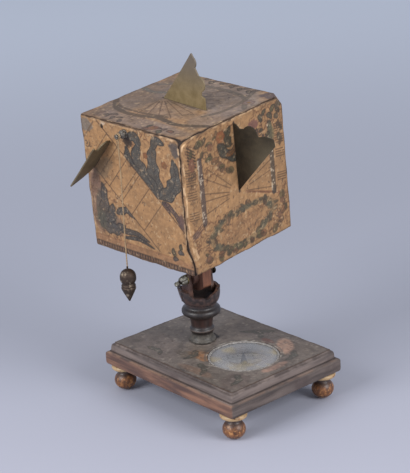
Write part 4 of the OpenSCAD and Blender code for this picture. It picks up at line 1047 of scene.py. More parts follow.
# The hinge. A brass bolt goes through both ears and the stem, between leather washers, and a cast brass
# wing nut on the east side clamps it.
PIN_Z = BOARD_Z + PIN_RISE
leather = Finish("hard_leather", Roughness=0.7)
leather.set("Base Color", leather.mix(leather.noise(1.2, 4), (54, 34, 28), (92, 60, 48)))
leather.relief(leather.noise(0.5, 4), 0.08)
repaint("friction_washers", leather)
repaint("hinge_bolt", metal("bolt_brass", (38, 32, 27), (66, 57, 46), 0.5))
repaint("bolt_washer", old_brass)

HUB_Y = -10.35
HUB_R, HUB_H = 2.4, 3.0
WING_TURN = math.radians(38)
hub = turned(eased([
    (0, 0), (2.2, 0), (HUB_R + 0.4, 0.4), (HUB_R + 0.4, 1.1), (2.5, 1.6), (2.35, 2.6), (2.0, HUB_H + 0.3),
    (1.4, HUB_H + 0.35), (1.25, HUB_H - 0.3), (0, HUB_H - 0.3)], 0.2, 1), 40)
WING_REACH, LOBE_R, WING_T = 5.2, 2.5, 2.2
past_neck = LOBE_R * np.sin(np.radians(np.linspace(8, 87, 12)))
wing_out = np.concatenate([np.linspace(0.9, WING_REACH - LOBE_R, 12), WING_REACH - LOBE_R + past_neck])
lobe = np.sqrt(np.maximum(LOBE_R ** 2 - (wing_out - WING_REACH + LOBE_R) ** 2, 0))
lobe_side = np.clip(wing_out / (WING_REACH - LOBE_R), 0, 1)
wing_low = np.where(lobe_side < 1, 0.3 + 0.9 * lobe_side, HUB_H - lobe)
wing_high = np.where(lobe_side < 1, 2.4 + 2.5 * lobe_side, HUB_H + lobe)


def spun(angle, first, second):
    """A turn in the plane of two axes, from the first towards the second."""
    m = np.eye(3)
    m[[first, second], [first, second]] = math.cos(angle)
    m[second, first], m[first, second] = math.sin(angle), -math.sin(angle)
    return m


wings = [blade(wing_out, wing_low, wing_high, WING_T, 0.75, np.zeros(3), (side, 0, 0), (0, 0, 1), steps=10)
         for side in (1, -1)]
nut_points, nut_faces = joined(hub, *wings)
nx, ny, nz = (nut_points @ spun(WING_TURN, 0, 1).T).T
nut_brass = metal("nut_brass", (82, 78, 68), (190, 186, 170), 0.3, 0.7, 1.2, depth=0.2)
piece("wing_nut_cast", "wing_nut", "nut",
      (np.column_stack([COLUMN[0] + nx, HUB_Y - nz, PIN_Z + ny]), nut_faces), nut_brass, 50)

# The stem is a flat bar of reddish hardwood, round about the bolt, with its arrises just taken off. It
# carries the block on a long tenon.
STEM_HALF, STEM_T, STEM_END_R = 6.7, 6.1, 8.3
climb = np.concatenate([-STEM_END_R * np.cos(np.radians(np.linspace(3, 88, 20))), np.linspace(1, 40, 14)])
half_w = np.minimum(np.sqrt(np.maximum(STEM_END_R ** 2 - np.minimum(climb, 0) ** 2, 0.1)), STEM_HALF)
stem_wood = Finish("stem_wood")
streak = stem_wood.noise(2.0, 4, 0.6, stretch=(1, 1, 0.15))
# The narrow north face is painted lighter than the broad faces, which stand for the same wood in shade:
# painted light and shade.
north_face = stem_wood.along("X").between(COLUMN[0] + 6.2, COLUMN[0] + 6.6)
side_tone = stem_wood.mix(streak.between(0.3, 0.7), (72, 45, 35), (104, 67, 52))
other_face_tone = stem_wood.mix(streak.between(0.3, 0.7), (98, 60, 44), (134, 87, 64))
stem_wood.set("Base Color", stem_wood.mix(north_face, side_tone, other_face_tone))
stem_wood.set("Roughness", 0.5 + 0.2 * streak)
stem_wood.relief(stem_wood.noise(0.6, 4, 0.6, stretch=(1, 1, 0.2)), 0.1)
bar = blade(climb, -half_w, half_w, STEM_T, 0.45, np.array([COLUMN[0], 0, PIN_Z]), (0, 0, 1), (1, 0, 0))
piece("stem_bar", "tongue", "block", bar, stem_wood, 35)


# The block. A cube of lime wood, turned brown, that shows only at its worn edges and underneath.
block_wood = Finish("block_wood", Roughness=0.75)
streak = block_wood.noise(4, 4, 0.6, stretch=(1, 0.12, 1))
split = block_wood.along("X") - block_wood.along("Y")
# Along the front edge, low down and near the top, where the papers part, the wood is painted near black:
# painted shade in the gap.
shaded_low_corner = (split - 0.4 * block_wood.height()).between(14, 18)
shaded_high_corner = (split + 0.4 * block_wood.height()).between(113, 119)
block_wood.set("Base Color", block_wood.layered(
    (58, 43, 34), (streak.between(0.3, 0.7), (94, 72, 54)),
    (block_wood.noise(6, 4).between(0.5, 0.75) * 0.6, (44, 33, 28)),
    (shaded_low_corner * 0.85, (24, 19, 17)), (shaded_high_corner * 0.8, (32, 24, 20))))
block_wood.relief(block_wood.noise(0.9, 4, 0.6, stretch=(1, 0.2, 1)), 0.15)

BLOCK_AT = np.array([-16.3, -1.1, 91.6])
YAW, TILT, LEAN = np.radians([4.1, 1.2, 4.6])
MID = 37.5
BLOCK_TURN = spun(YAW, 0, 1) @ spun(TILT, 2, 0) @ spun(LEAN, 1, 2)


def on_block(points):
    """Points from the block's middle, in its own frame, as it stands on its stem."""
    return BLOCK_AT + (np.asarray(points) + [0, 0, MID]) @ BLOCK_TURN.T


# Each dial paper is cut a little short of its face and turned down over the worn edges. u runs to the
# right and v up as one looks at the face.
FACES = {"east": ((1, 0, 0), (0, 0, 1)), "north": ((0, 1, 0), (0, 0, 1)), "top": ((1, 0, 0), (0, 1, 0)),
         "south": ((0, -1, 0), (0, 0, 1)), "west": ((-1, 0, 0), (0, 0, 1))}
PAPER_T = 0.3
OUTER = 38.1
PAPER_HALF = 37.95
CELLS = 200
WORN_REACH, KNOCKED_REACH = 65.2, 62.6
DROOP = 0.8


def rounded(points, offset):
    """Carries points of the sharp cube onto the worn one: edges roll over by a radius that varies along
    them and is largest on the front edge, corners come back to a sphere about the middle, and the lower
    end hangs a little. offset is the height over the surface."""
    x, y, z = points[..., 0], points[..., 1], points[..., 2]
    radius = 1.2 + 0.3 * np.sin(x * 0.31 + y * 0.23 + 1) * np.sin(z * 0.37 - y * 0.19 + 2)
    radius = radius + 1.4 * (cloud(x + 0.8 * y, z - 0.6 * y, 9, 151, 3) - 0.5)
    radius = radius + 1.6 * (np.clip(x / OUTER, 0, 1) * np.clip(-y / OUTER, 0, 1)) ** 6
    inner = np.clip(points, -(OUTER - radius)[..., None], (OUTER - radius)[..., None])
    over = points - inner
    far = np.maximum(np.linalg.norm(over, axis=-1, keepdims=True), 1e-9)
    carried = inner + over / far * (radius + offset)[..., None]
    reach = np.linalg.norm(carried, axis=-1)
    limit = np.where((x > 0) & (z > 0), KNOCKED_REACH, WORN_REACH) + offset
    carried = carried * np.minimum(1, limit / reach)[..., None]
    return carried - DROOP * np.clip(-z / OUTER, 0, 1)[..., None] ** 2 * [0, 0, 1]


BLOCK_GRID = 97
t = np.linspace(-OUTER, OUTER, BLOCK_GRID)
u, v = np.meshgrid(t, t)
sides = []
for axis_u, axis_v in [*FACES.values(), ((1, 0, 0), (0, -1, 0))]:
    axis_u, axis_v = np.array(axis_u, float), np.array(axis_v, float)
    flat = u[..., None] * axis_u + v[..., None] * axis_v + OUTER * np.cross(axis_u, axis_v)
    sides.append(rounded(flat, -PAPER_T - 0.04 + 0 * u).reshape(-1, 3))
sides = np.vstack(sides)
_, first, weld = np.unique(np.round(sides, 3), axis=0, return_index=True, return_inverse=True)
cells = np.vstack([quads(BLOCK_GRID, BLOCK_GRID, False) + BLOCK_GRID ** 2 * k for k in range(6)])
piece("cube_block_worn", "cube_block", "block",
      (on_block(sides[first]), weld.ravel()[cells].tolist()), block_wood, 60)


def dial_sheet(face, seed, draw, left=None, right=None, rubbed=()):
    """Cuts a face's paper with uneven edges, has its print drawn, ages it and pastes it on the block. left
    and right say how far those edges are torn back at a height; rubbed are the lines along which the
    edge has been handled down to clean paper."""
    t = np.linspace(-1, 1, CELLS + 1)
    u, v = np.meshgrid(t, t)
    fray_u = (cloud(v * 37, u * 0 + np.sign(u) * 9, 5, seed, 4) - 0.4) * 2.0
    fray_v = (cloud(u * 37, v * 0 + np.sign(v) * 9, 5, seed + 2, 4) - 0.4) * 2.0
    half_u, half_v = PAPER_HALF - np.maximum(fray_u, 0), PAPER_HALF - np.maximum(fray_v, 0)
    for sign, torn in ((-1, left), (1, right)):
        if torn is not None:
            half_u = np.where(u * sign > 0, half_u - torn(v * 37), half_u)
    u, v = u * half_u, v * half_v
    keep = np.ones((CELLS, CELLS), bool)
    if face == "east":
        keep = cut_round(u, v, SPARE_HOLE, 0.7)
    printed = Print(u, v, (170, 130, 90))
    draw(printed)
    near_edge = np.minimum(half_u - np.abs(u), half_v - np.abs(v))
    printed.aged(seed, (122, 94, 68), near_edge.ravel(), (196, 168, 132))
    for k, (points, width, strength) in enumerate(rubbed):
        printed.scuff(smooth_line(points, 60), width, (212, 177, 138), seed + 40 + k, strength)
    ripple = 0.16 * (cloud(u, v, 11, seed + 3) - 0.5) + 0.05 * cloud(u, v, 2.5, seed + 7)
    ripple = ripple + 0.12 * np.clip(1 - near_edge / 1.2, 0, 1) * cloud(u, v, 4, seed + 11)
    axis_u, axis_v = np.array(FACES[face], float)
    over = np.maximum(np.abs(u) - OUTER, 0)[..., None]
    flat = np.clip(u, -OUTER, OUTER)[..., None] * axis_u + v[..., None] * axis_v + (
        OUTER - over) * np.cross(axis_u, axis_v)
    front, back = rounded(flat, ripple), rounded(flat, ripple - PAPER_T)
    shape, source = pasted(on_block(front), on_block(back), keep)
    made = piece(f"paper_{face}_printed", f"paper_{face}", "block", shape, dial_paper, 50)
    paint(made, printed.linear()[source])


dial_paper = paper_finish("dial_paper", 0.45)
SPARE_HOLE = (-21.4, 34.3)
INK, RED_INK = (58, 42, 34), (112, 66, 48)
BLUE, TEAL, VIOLET = (80, 78, 74), (60, 62, 52), (92, 70, 68)
ORANGE, PINK, OLIVE = (146, 84, 48), (136, 92, 74), (92, 88, 58)


def along_line(points, every):
    """Places along a curve at even steps, each with the angle at which the curve runs on from it."""
    path = smooth_line(points, 60)
    run = np.concatenate([[0], np.cumsum(np.hypot(*np.diff(path, axis=0).T))])
    for at in np.arange(every / 2, run[-1], every):
        foot, ahead = (np.array([np.interp(s, run, path[:, i]) for i in (0, 1)]) for s in (at, at + 0.5))
        yield foot, math.atan2(*(ahead - foot)[::-1])


def leaf_run(page, points, every, size, colours, seed):
    """Leaves along a line, in turn to one side and the other, each in one of the colours."""
    pick = np.random.default_rng(seed)
    for k, (foot, way) in enumerate(along_line(points, every)):
        way = way + (1 if k % 2 else -1) * pick.uniform(0.6, 1.1)
        long_leaf = size * pick.uniform(0.8, 1.25)
        ahead, aside = two_ways(way)
        tip = foot + long_leaf * ahead
        bend = (foot + tip) / 2 + 0.16 * long_leaf * aside
        page.leaf(smooth_line([foot, bend, tip], 10), long_leaf * 0.55, colours[k % len(colours)])


def bud_run(page, points, every, long, wide, colours, seed):
    """Round leaves along a line, each turned a little off it, in each of the colours in turn."""
    pick = np.random.default_rng(seed)
    for k, (foot, way) in enumerate(along_line(points, every)):
        way = way + pick.uniform(-1.2, 1.2)
        size = pick.uniform(0.6, 1.35)
        spot = foot + pick.uniform(-1.0, 1.0, 2) * wide
        tint = np.array(colours[k % len(colours)]) * pick.uniform(0.85, 1.3)
        if pick.random() < 0.85:
            page.bud(spot, long * size, wide * size * pick.uniform(0.7, 1.1), way, tint)


def engrave(page, low, high, count, seed):
    """Short curved strokes of the graver, scattered over part of the sheet."""
    pick = np.random.default_rng(seed)
    for _ in range(count):
        foot, way, run = pick.uniform(low, high), pick.uniform(0, math.pi), pick.uniform(1.2, 3.2)
        ahead, aside = two_ways(way)
        bend = aside * pick.uniform(-0.6, 0.6)
        path = [foot, foot + ahead * run / 2 + bend, foot + ahead * run]
        page.line(path, 0.5, (92, 60, 44), pick.uniform(0.4, 0.9))


def hour_lines(page, centre, degrees, start, end, double=()):
    """Hour lines that radiate from a centre, between two distances from it."""
    for k, degree in enumerate(degrees):
        ahead, aside = two_ways(math.radians(degree))
        for shift in ((-0.35, 0.35) if k in double else (0,)):
            foot = centre + shift * aside
            page.line([foot + start * ahead, foot + end * ahead], 0.4, RED_INK if k in double else INK, 0.85)


def plain_band(page, start, end, half, colour):
    """A band of bare paper, as wide as twice half, that covers what is under it."""
    where, off, *_ = page.follow([start, end], half + 1)
    page.lay(where, page.within(half - off), colour, 0.97)


def draw_east(page):
    """The morning dial: a plain slanting band with its hour lines, set between two fields of leaves."""
    along, up_band = two_ways(math.radians(-41))
    field_top, field_low = np.array([-7, 21]), np.array([-30, 8])
    page.wash((-32, -10), (6, 19), (124, 98, 88), 0.75, 0.4, 5)
    page.wash((-24, -22), (11, 6), (98, 84, 80), 0.6, 0.5, 6)
    engrave(page, (-37, -36), (-8, 4), 170, 421)
    engrave(page, (-4, 4), (34, 36), 150, 422)
    page.wash((20, 18), (15, 16), (176, 134, 92), 0.6, 0.3, 8)
    for points, width, lobes in (
            ([(18, 1), (16, 10), (14.5, 20), (16.5, 32)], 8.6, 3),
            ([(18, 2), (9, 11), (3, 20), (5.5, 31)], 8.4, 3),
            ([(18, 2), (27, 8), (31, 16), (30, 26)], 8.4, 3),
            ([(14, 6), (5, 11), (-3, 18), (-4, 27)], 6.6, 2),
            ([(6.5, 28), (3, 33), (-4, 31)], 5.4, 0), ([(16, 29), (19, 34), (25, 33)], 4.6, 0)):
        page.leaf(smooth_line(points), width, BLUE, 0.95, lobes, 1.4, (44, 42, 42))
    for points in ([(19, 0), (26, -3), (33, -12)], [(19, 0), (22, -3), (24, -7)]):
        page.leaf(smooth_line(points, 12), 3.0, VIOLET, 0.75, 2)
    page.flower((23.4, 21.5), 2.0, ORANGE, 5)
    page.flower((10.0, 24.0), 1.6, ORANGE, 5)
    page.wash((32, -9), (2.6, 5), VIOLET, 0.85, 0.35, 12)
    page.wash((-26, -20), (8, 5.5), (74, 72, 70), 0.9, 0.3, 15, 20)
    page.wash((-30, -12), (3.4, 9), (80, 76, 72), 0.8, 0.35, 16, -8)
    for points, width, lobes in (
            ([(-31, -26), (-28, -16), (-26, -6), (-27, 1)], 6.5, 3),
            ([(-29, -24), (-23, -18), (-20, -10)], 6.5, 3),
            ([(-30, -25), (-20, -24.5), (-12, -21)], 6.4, 3), ([(-18, -15), (-10, -11.5), (-3, -15)], 3.8, 2),
            ([(-17, -25), (-6, -23.5), (6, -26)], 3.0, 2), ([(-14, -28), (-2, -26.5), (9, -29)], 1.8, 0)):
        page.leaf(smooth_line(points), width, (80, 76, 74), 0.9, lobes, 1.4, (46, 42, 40))
    page.wash((-31, -21), (4, 6), (76, 78, 68), 0.6, 0.5, 14)
    lower = [field_low, field_low + 57 * along]
    upper = [field_top - 25 * along, field_top + 54 * along]
    width_of_band = float((field_top - field_low) @ up_band)
    middle = field_low + up_band * width_of_band / 2
    plain_band(page, middle - 14 * along, middle + 62 * along, width_of_band / 2, (170, 129, 88))
    page.line(lower, 0.5, INK, 0.9)
    page.line(upper, 0.6, INK, 0.9)
    for k, at in enumerate((-6, 3.5, 12, 20.5, 23, 32, 43)):
        foot = field_low + at * along
        page.line([foot, foot + up_band * width_of_band], 0.4, INK, 0.8)
        if k in (1, 3, 5):
            spot = foot + up_band * width_of_band * 0.55 + along * 2.2
            page.numeral(spot, ("V", "VI", "VII")[k // 2], 2.0, -41)
    page.soak((-30.6 - page.v) / 0.5, (150, 110, 80), 0.75)
    page.band([(-36, -35.6), (36.5, -35.6)], 2.4, (120, 90, 72), 0.9, 2.0, 0, 0.95, (44, 35, 32))
    page.line([(-36, -30.6), (30, -30.6)], 0.4, RED_INK, 0.6)
    for at, hand in (((2, 35), 1), ((-33, 23), -1), ((-35.4, 14), 1)):
        page.curl(at, 2.6, -1.2, hand)
    leaf_run(page, [(22, -33), (26, -28), (31, -24)], 3.2, 4.2, [(92, 86, 84), OLIVE], 3)
    page.wash((-35, 33), (5.5, 3.6), (116, 108, 102), 0.85, 0.4, 17)
    page.line([(-37, 25), (-28, 35.5)], 0.9, (104, 82, 64), 0.85)
    page.line([(-36, 20), (-33, 24)], 0.4, (96, 84, 72), 0.7)
    page.wash((-20.4, 36.2), (1.9, 1.0), (206, 186, 166), 0.8, 0.5, 23)
    # A dark ring round the spare hole: painted shade in the hole.
    page.wash(SPARE_HOLE, (1.15, 1.15), (22, 17, 14), 1.0, 0.15, 22)
    page.wash((32.5, 31.5), (3.6, 4.6), (84, 76, 74), 0.9, 0.4, 18, 30)
    # A dark patch below the peg: the peg's painted shadow.
    page.wash((-3, 30), (3.4, 3.6), (52, 42, 38), 0.85, 0.5, 19)
    # A grey-brown patch just below the east plate: its painted shadow.
    page.wash((-24, 10), (8, 5), (118, 102, 82), 0.55, 0.5, 21, 40)
    slot = np.array([-31.7, 9.1])
    page.line([slot, slot + 23 * two_ways(math.radians(49))[0]], 1.3, (40, 32, 28), 0.8)


def side_scale(page, x, low, high, colour, hatch_x, seed):
    """An upright hour scale: a hatched strip with worn dots, and groups of short lines beside it."""
    middle = (low + high) / 2
    page.band([(x, low), (x + 0.3, middle), (x, high)], 3.0, colour, 0.9, 1.0, 0.5, 0.4, (56, 46, 44))
    page.scuff([(x - 1.3, low), (x - 1.1, high)], 0.9, (212, 196, 172), seed + 30, 0.85)
    pick = np.random.default_rng(seed)
    for k in range(15):
        at = (x + pick.uniform(-1.3, 1.3), pick.uniform(low, high))
        page.wash(at, (0.5, 0.5), (206, 190, 168), 0.9, 0.2, seed + k)
    for foot in (high - 6, middle + 7, middle - 1, low + 5):
        for k in range(4):
            rung = foot + 1.35 * k
            page.line([(hatch_x - 3.4, rung), (hatch_x + 3, rung - 0.9)], 0.5, INK, 0.85)
        page.numeral((hatch_x, foot - 2.0), ("IIII", "VI", "VIII", "X")[seed % 4], 1.9)


def draw_north(page):
    """The north dial: hour lines from the foot of its plate, a scale up each side, a sprig of flowers
    above and a wreath of leaves below."""
    hour_lines(page, (0, -3.7), (147, 137, 163, 172, 8, 20, -21, -14, 188), 8, 30)
    hour_lines(page, (0, -3.7), (-20.5,), 5, 40, (0,))
    engrave(page, (-36, 8), (-2, 36), 190, 411)
    engrave(page, (12, 14), (36, 36), 120, 412)
    engrave(page, (-36, -36), (36, -12), 330, 413)
    page.line(smooth_line([(-34.6, 33), (-35.0, 18), (-34.2, 2), (-34.9, -14), (-34.4, -26)], 40), 0.35,
              (92, 60, 44), 0.7)
    for at in ((-26.5, 31.5), (-22.6, 32.4), (-25, 25.5), (-19.5, 22.6)):
        page.bud(at, 1.8, 1.1, 1.1, (84, 74, 56))
    side_scale(page, -27.2, -12, 23, (98, 84, 80), -34, 2)
    side_scale(page, 26.4, -13, 26, (90, 82, 70), 33.4, 3)
    for k in range(6):
        page.line([(-35.2, 32.8 - 1.7 * k), (-29.8, 28.9 - 1.7 * k)], 0.75, (52, 40, 34), 1.0)
    page.wash((27, 20), (2.2, 6), (92, 94, 70), 0.6, 0.4, 3)
    page.wash((-32.7, 22.5), (2, 3.6), (122, 80, 62), 0.9, 0.3, 5)
    page.wash((14.5, 29), (3.6, 2.6), (118, 80, 74), 0.9, 0.3, 7)
    bud_run(page, [(-34, 28), (-27, 32), (-18, 30), (-14, 34)], 3.1, 1.7, 1.15,
            [OLIVE, (104, 76, 54), (84, 80, 60)], 5)
    leaf_run(page, [(17, 33), (26, 31), (36, 33)], 3.4, 4.0, [(84, 80, 62), OLIVE], 7)
    bud_run(page, [(35, 35), (33, 28), (35, 20), (34, 12)], 3.0, 2.0, 1.4, [(80, 74, 64), (108, 76, 54)], 8)
    for at, radius, hand in (((-21, 22), 2.8, 1), ((17, 25), 2.6, -1), ((-31, 15), 2.2, 1),
                             ((31.5, 24), 2.4, -1)):
        page.curl(at, radius, 0.7, hand)
    page.leaf(smooth_line([(-13, 27), (-8, 21), (0.5, 14)]), 5.4, (56, 60, 56), 0.97, 2, 1.4, (34, 32, 30))
    page.leaf(smooth_line([(-3.5, 23), (-6.0, 29), (-3, 34)], 14), 4.8, (58, 56, 44), 0.97, 2, 1.4,
              (34, 32, 28))
    page.leaf(smooth_line([(-8, 19), (-2, 20), (3, 24)], 12), 3.4, (122, 76, 40), 0.9, 2)
    page.flower((-10.5, 30.5), 3.3, (140, 78, 46), 6)
    page.flower((-12.5, 15), 2.3, (108, 84, 70), 5)
    page.flower((-18.5, 27.5), 2.0, PINK, 5)
    bud_run(page, [(-22, 25), (-16, 19), (-8, 12), (-3, 11)], 3.0, 2.0, 1.4,
            [(78, 68, 52), OLIVE, (108, 74, 52)], 9)
    leaf_run(page, [(16, 27), (20, 22), (25, 18)], 3.0, 3.0, [PINK, OLIVE], 10)
    page.wash((0, -24), (17, 7), (152, 114, 80), 0.6, 0.3, 9, 4)
    wreath = [(-24, -21), (-14, -15.5), (-3, -14.5), (8, -14), (18, -15), (24.5, -20), (20, -26), (12, -31),
              (0, -33), (-13, -31), (-21, -27), (-24, -21)]
    page.band(smooth_line(wreath, 72), 3.2, (126, 112, 84), 0.45, 2.7, 1.4, 0.3, (92, 84, 64))
    for grow, every, seed in ((1.12, 4.6, 11), (0.95, 3.7, 12)):
        around = [(x * grow, (y + 23.5) * grow - 23.5) for x, y in wreath]
        bud_run(page, around, every, 1.9, 1.1,
                [(84, 84, 66), (112, 100, 74), (78, 78, 70), (118, 88, 66)], seed)
    for at, size, turn in (((-18, -18), (4, 1.6), 30), ((4, -14), (5, 1.3), 2), ((22, -19), (3, 2), -40),
                           ((17, -28), (3.4, 1.6), 40), ((-19, -28), (3, 1.8), -30)):
        page.wash(at, size, (84, 84, 70), 0.6, 0.5, 25, turn)
    for y in (-19.5, -21.7, -23.9, -26.1, -28.3):
        page.line([(-15 + 1.2 * (y + 24) ** 2 / 9, y - 0.6), (13 - 1.2 * (y + 24) ** 2 / 9, y + 0.5)], 0.28,
                  (120, 92, 72), 0.45)
    bud_run(page, [(-31, -26), (-28, -32), (-16, -33.5), (0, -35), (10, -34), (20, -32.5)], 3.5, 2.1, 1.7,
            [(76, 72, 52), OLIVE, (116, 76, 54)], 13)
    bud_run(page, [(24, -33), (31, -30), (34, -22), (33, -15)], 3.2, 2.1, 1.6,
            [(78, 72, 50), (112, 74, 52)], 15)
    for at, radius, hand in (((-28, -24), 2.4, 1), ((29, -24), 2.6, -1), ((27, -34), 2.0, 1)):
        page.curl(at, radius, -0.6, hand)
    for at in ((29, -27.5), (-27, -31.5), (32, -20)):
        page.flower(at, 1.7, (124, 90, 76), 5)
    page.wash((-34, -16), (3, 2), (106, 84, 78), 0.6, 0.4, 15)
    for k in range(3):
        page.line([(-37, -18.5 + 1.5 * k), (-29, -14 + 1.5 * k)], 0.5, (78, 58, 56), 0.8)
    page.line([(0, -3.7), (0, 35)], 1.4, (40, 32, 28), 0.85)


def draw_top(page):
    """The level dial: hour lines round the plate's foot, inside great swept bands that dirt has greyed."""
    page.wash((6, 16), (34, 22), (136, 124, 116), 0.85, 0.35, 3)
    page.wash((-28, 2), (12, 30), (108, 94, 84), 0.8, 0.4, 5)
    page.wash((30, -4), (9, 22), (138, 120, 108), 0.7, 0.4, 7)
    page.wash((0, -32), (36, 7), (134, 116, 106), 0.8, 0.4, 9)
    page.wash((2, -11), (20, 9), (156, 128, 104), 0.75, 0.4, 11)
    # A grey-violet veil over the whole sheet: greyed paper, and painted sheen where the varnished top
    # reflects the pale backdrop.
    page.soak(1 + 0 * page.u, (134, 122, 130), 0.2)
    page.soak(cloud(page.u, page.v, 4.5, 133, 4) * 3.2 - 1.7, (92, 78, 68), 0.55)
    page.soak(cloud(page.u, page.v, 3.0, 137, 3) * 3.4 - 2.0, (170, 146, 124), 0.4)
    hour_lines(page, (-15.4, 2.5), (-78, -64, -50, -38, -27, -17, -8, 12, 22, 33, 46, 60, 76), 6, 33)
    for path, width, colour in (
            ([(-37, -12), (-26, -22), (-10, -24.5), (4, -21), (20, -23.5), (36, -17)], 3.2, (80, 68, 58)),
            ([(-35, -14), (-24, -19.5), (-8, -20), (8, -18)], 1.6, (92, 74, 60)),
            ([(-33, 16), (-20, 25), (0, 28), (22, 25), (35, 12)], 2.6, (112, 104, 96)),
            ([(22, 34), (27, 20), (28, 4), (24, -8)], 2.0, (112, 102, 92)),
            ([(-36, 8), (-27, 6), (-20, 9)], 3.0, (104, 102, 98))):
        page.band(smooth_line(path, 40), width, colour, 0.85, 1.1, 0.7, 0.3, (80, 70, 66))
    leaf_run(page, [(6, -36), (12, -32), (18, -34), (24, -31)], 2.8, 4.0,
             [PINK, (96, 100, 84), (112, 90, 84)], 5)
    leaf_run(page, [(-34, -33), (-22, -31), (-10, -34)], 3.4, 4.0, [(108, 96, 92), (118, 96, 86)], 7)
    leaf_run(page, [(-20, 34), (0, 35), (22, 33)], 3.6, 4.0, [(112, 104, 96), (120, 104, 98)], 9)
    page.flower((12.5, -33), 3.0, PINK, 6)
    page.flower((31, 20), 3.2, (126, 108, 104), 6)
    page.wash((-33, -33), (8, 5), (118, 98, 88), 0.6, 0.4, 13)
    page.wash((34, 34), (6, 5), (84, 72, 76), 0.85, 0.4, 15)
    plate_foot = np.array([-15.4, 2.5])
    page.line([plate_foot, plate_foot + 34.4 * two_ways(math.radians(-4))[0]], 1.5, (50, 40, 34), 0.85)


def draw_south(page):
    """The noon dial, out of sight in the photograph: hour lines from its plate's upper end, a scale up
    each side, flowers below and leaves in the corners."""
    hour_lines(page, (0, 3.7), (-150, -135, -122, -110, -100, -80, -70, -58, -45, -30), 8, 31)
    side_scale(page, -29, -26, 20, (100, 88, 82), -35, 1)
    side_scale(page, 29, -26, 20, (100, 92, 82), 34.5, 3)
    for side in (-1, 1):
        leaf_run(page, [(side * 4, 30), (side * 16, 27), (side * 30, 31)], 2.8, 4.0, [(88, 84, 76), OLIVE], 5)
        leaf_run(page, [(side * 6, 14), (side * 16, 18), (side * 24, 12)], 3.0, 3.6, [TEAL, (112, 84, 64)], 6)
        page.flower((side * 15, 22), 2.8, (134, 88, 64), 6)
        page.flower((side * 31, -31), 2.4, PINK, 5)
    leaf_run(page, [(-26, -32), (0, -29), (26, -32)], 2.4, 3.6, [(92, 86, 72), (78, 74, 66), OLIVE], 8)
    page.band([(-36, -36), (36, -36)], 1.4, (104, 82, 72), 0.8, 0.9, 0.6)
    page.line([(0, 3.7), (0, -35)], 1.4, (40, 32, 28), 0.85)


def draw_west(page):
    """The evening dial, out of sight in the photograph: the east dial's slanting band turned over."""
    along, up_band = two_ways(math.radians(41))
    foot_line = np.array([-33, -30])
    for points, width, lobes in (
            ([(-19, 2), (-16, 12), (-18, 32)], 7, 5), ([(-20, 3), (-29, 12), (-30, 26)], 6.4, 4),
            ([(-17, 4), (-7, 14), (-5, 30)], 6.4, 4), ([(28, -27), (25, -14), (29, 0)], 6.4, 5),
            ([(26, -26), (14, -24), (6, -27)], 4.6, 4)):
        page.leaf(smooth_line(points), width, BLUE, 0.9, lobes, 1.1)
    page.flower((-11, 21), 2.4, ORANGE, 6)
    page.flower((19, -19), 2.2, PINK, 5)
    middle = foot_line + up_band * 8
    plain_band(page, middle - 6 * along, middle + 92 * along, 9, (157, 124, 96))
    for edge_off in (-1, 17):
        edge_line = foot_line + up_band * edge_off
        page.line([edge_line - 4 * along, edge_line + 90 * along], 0.4)
    for k, hour in enumerate(("I", "II", "III", "IIII", "V", "VI", "VII", "VIII")):
        foot = foot_line + (8 + 10 * k) * along - up_band
        page.line([foot, foot + up_band * 18], 0.3, INK, 0.6)
        page.numeral(foot + up_band * 10 + along * 2.4, hour, 2.0, 41)
    page.band([(-36.5, -35.3), (36.5, -35.3)], 1.8, (104, 82, 72), 0.8, 0.9, 0.6)
    leaf_run(page, [(-34, 34), (0, 35), (30, 33)], 3.4, 4.0, [OLIVE, (96, 88, 80)], 8)


def round_corner(v, wide, tall):
    """How far an edge turns in near the top of the face, for a corner that is a quarter of an ellipse."""
    return wide * (1 - np.sqrt(np.maximum(1 - np.clip((v - 37 + tall) / tall, 0, 1) ** 2, 0)))


def turned_over(v):
    """How far the north paper is turned over the block's front edge at a height."""
    return np.interp(v, [-31, -23, 4, 26], [0, 3.2, 3.2, 2.1])


def torn_north(v):
    """The north paper's left edge: turned over, round at its top, and torn back in a wedge below."""
    return round_corner(v, 7.6, 3) - turned_over(v) + 1.5 * np.clip((-30 - v) / 7, 0, 1) ** 1.2


def torn_east(v):
    """The east paper's right edge: short of the north paper's turned edge, and round at its ends."""
    return 0.1 + turned_over(v) + round_corner(v, 5, 2.2) + round_corner(-v, 1.6, 1.6)


dial_sheet("east", 201, draw_east, None, torn_east, [
    ([(14, 37.1), (24, 37.1), (30.5, 36.8), (33.6, 36.0), (34.9, 34.4), (35.1, 30)], 1.0, 0.85),
    ([(-37, 30), (-36.6, 10), (-37, -12), (-36.6, -30)], 0.9, 0.5),
    ([(-34, 36.9), (-6, 36.7), (10, 36.9)], 0.8, 0.5),
    ([(34.9, 26), (34.3, 4), (34.3, -22), (36.4, -29)], 1.0, 0.55)])
dial_sheet("north", 231, draw_north, torn_north, lambda v: round_corner(v, 2.2, 2.2), [
    ([(-25, 37.4), (-30, 37.0), (-34.5, 36.3), (-37.5, 34.4), (-38.8, 31), (-38.9, 24), (-38.3, 18),
      (-39.7, 10), (-38.7, 3), (-39.6, -6), (-38.5, -14), (-38.0, -21), (-36.2, -28)], 1.15, 0.9),
    ([(-18, 37.2), (-4, 36.9), (9, 37.2), (24, 37)], 0.8, 0.6),
    ([(-40.1, 24), (-40.8, 4), (-40.8, -22)], 0.8, 0.5),
    ([(-36.5, -12), (-37.2, -19), (-35.0, -26), (-33.6, -32)], 1.4, 0.75)])
dial_sheet("top", 261, draw_top)
dial_sheet("south", 291, draw_south)
dial_sheet("west", 321, draw_west)


# The gnomons. Sheet brass cut with scrolled backs, their tangs driven into slots in the block. They
# have been bent and straightened, and have taken an olive tarnish; the top one is the brightest.
LATITUDE = math.radians(49)
PLATE_T = 0.8
TANG = 1.2


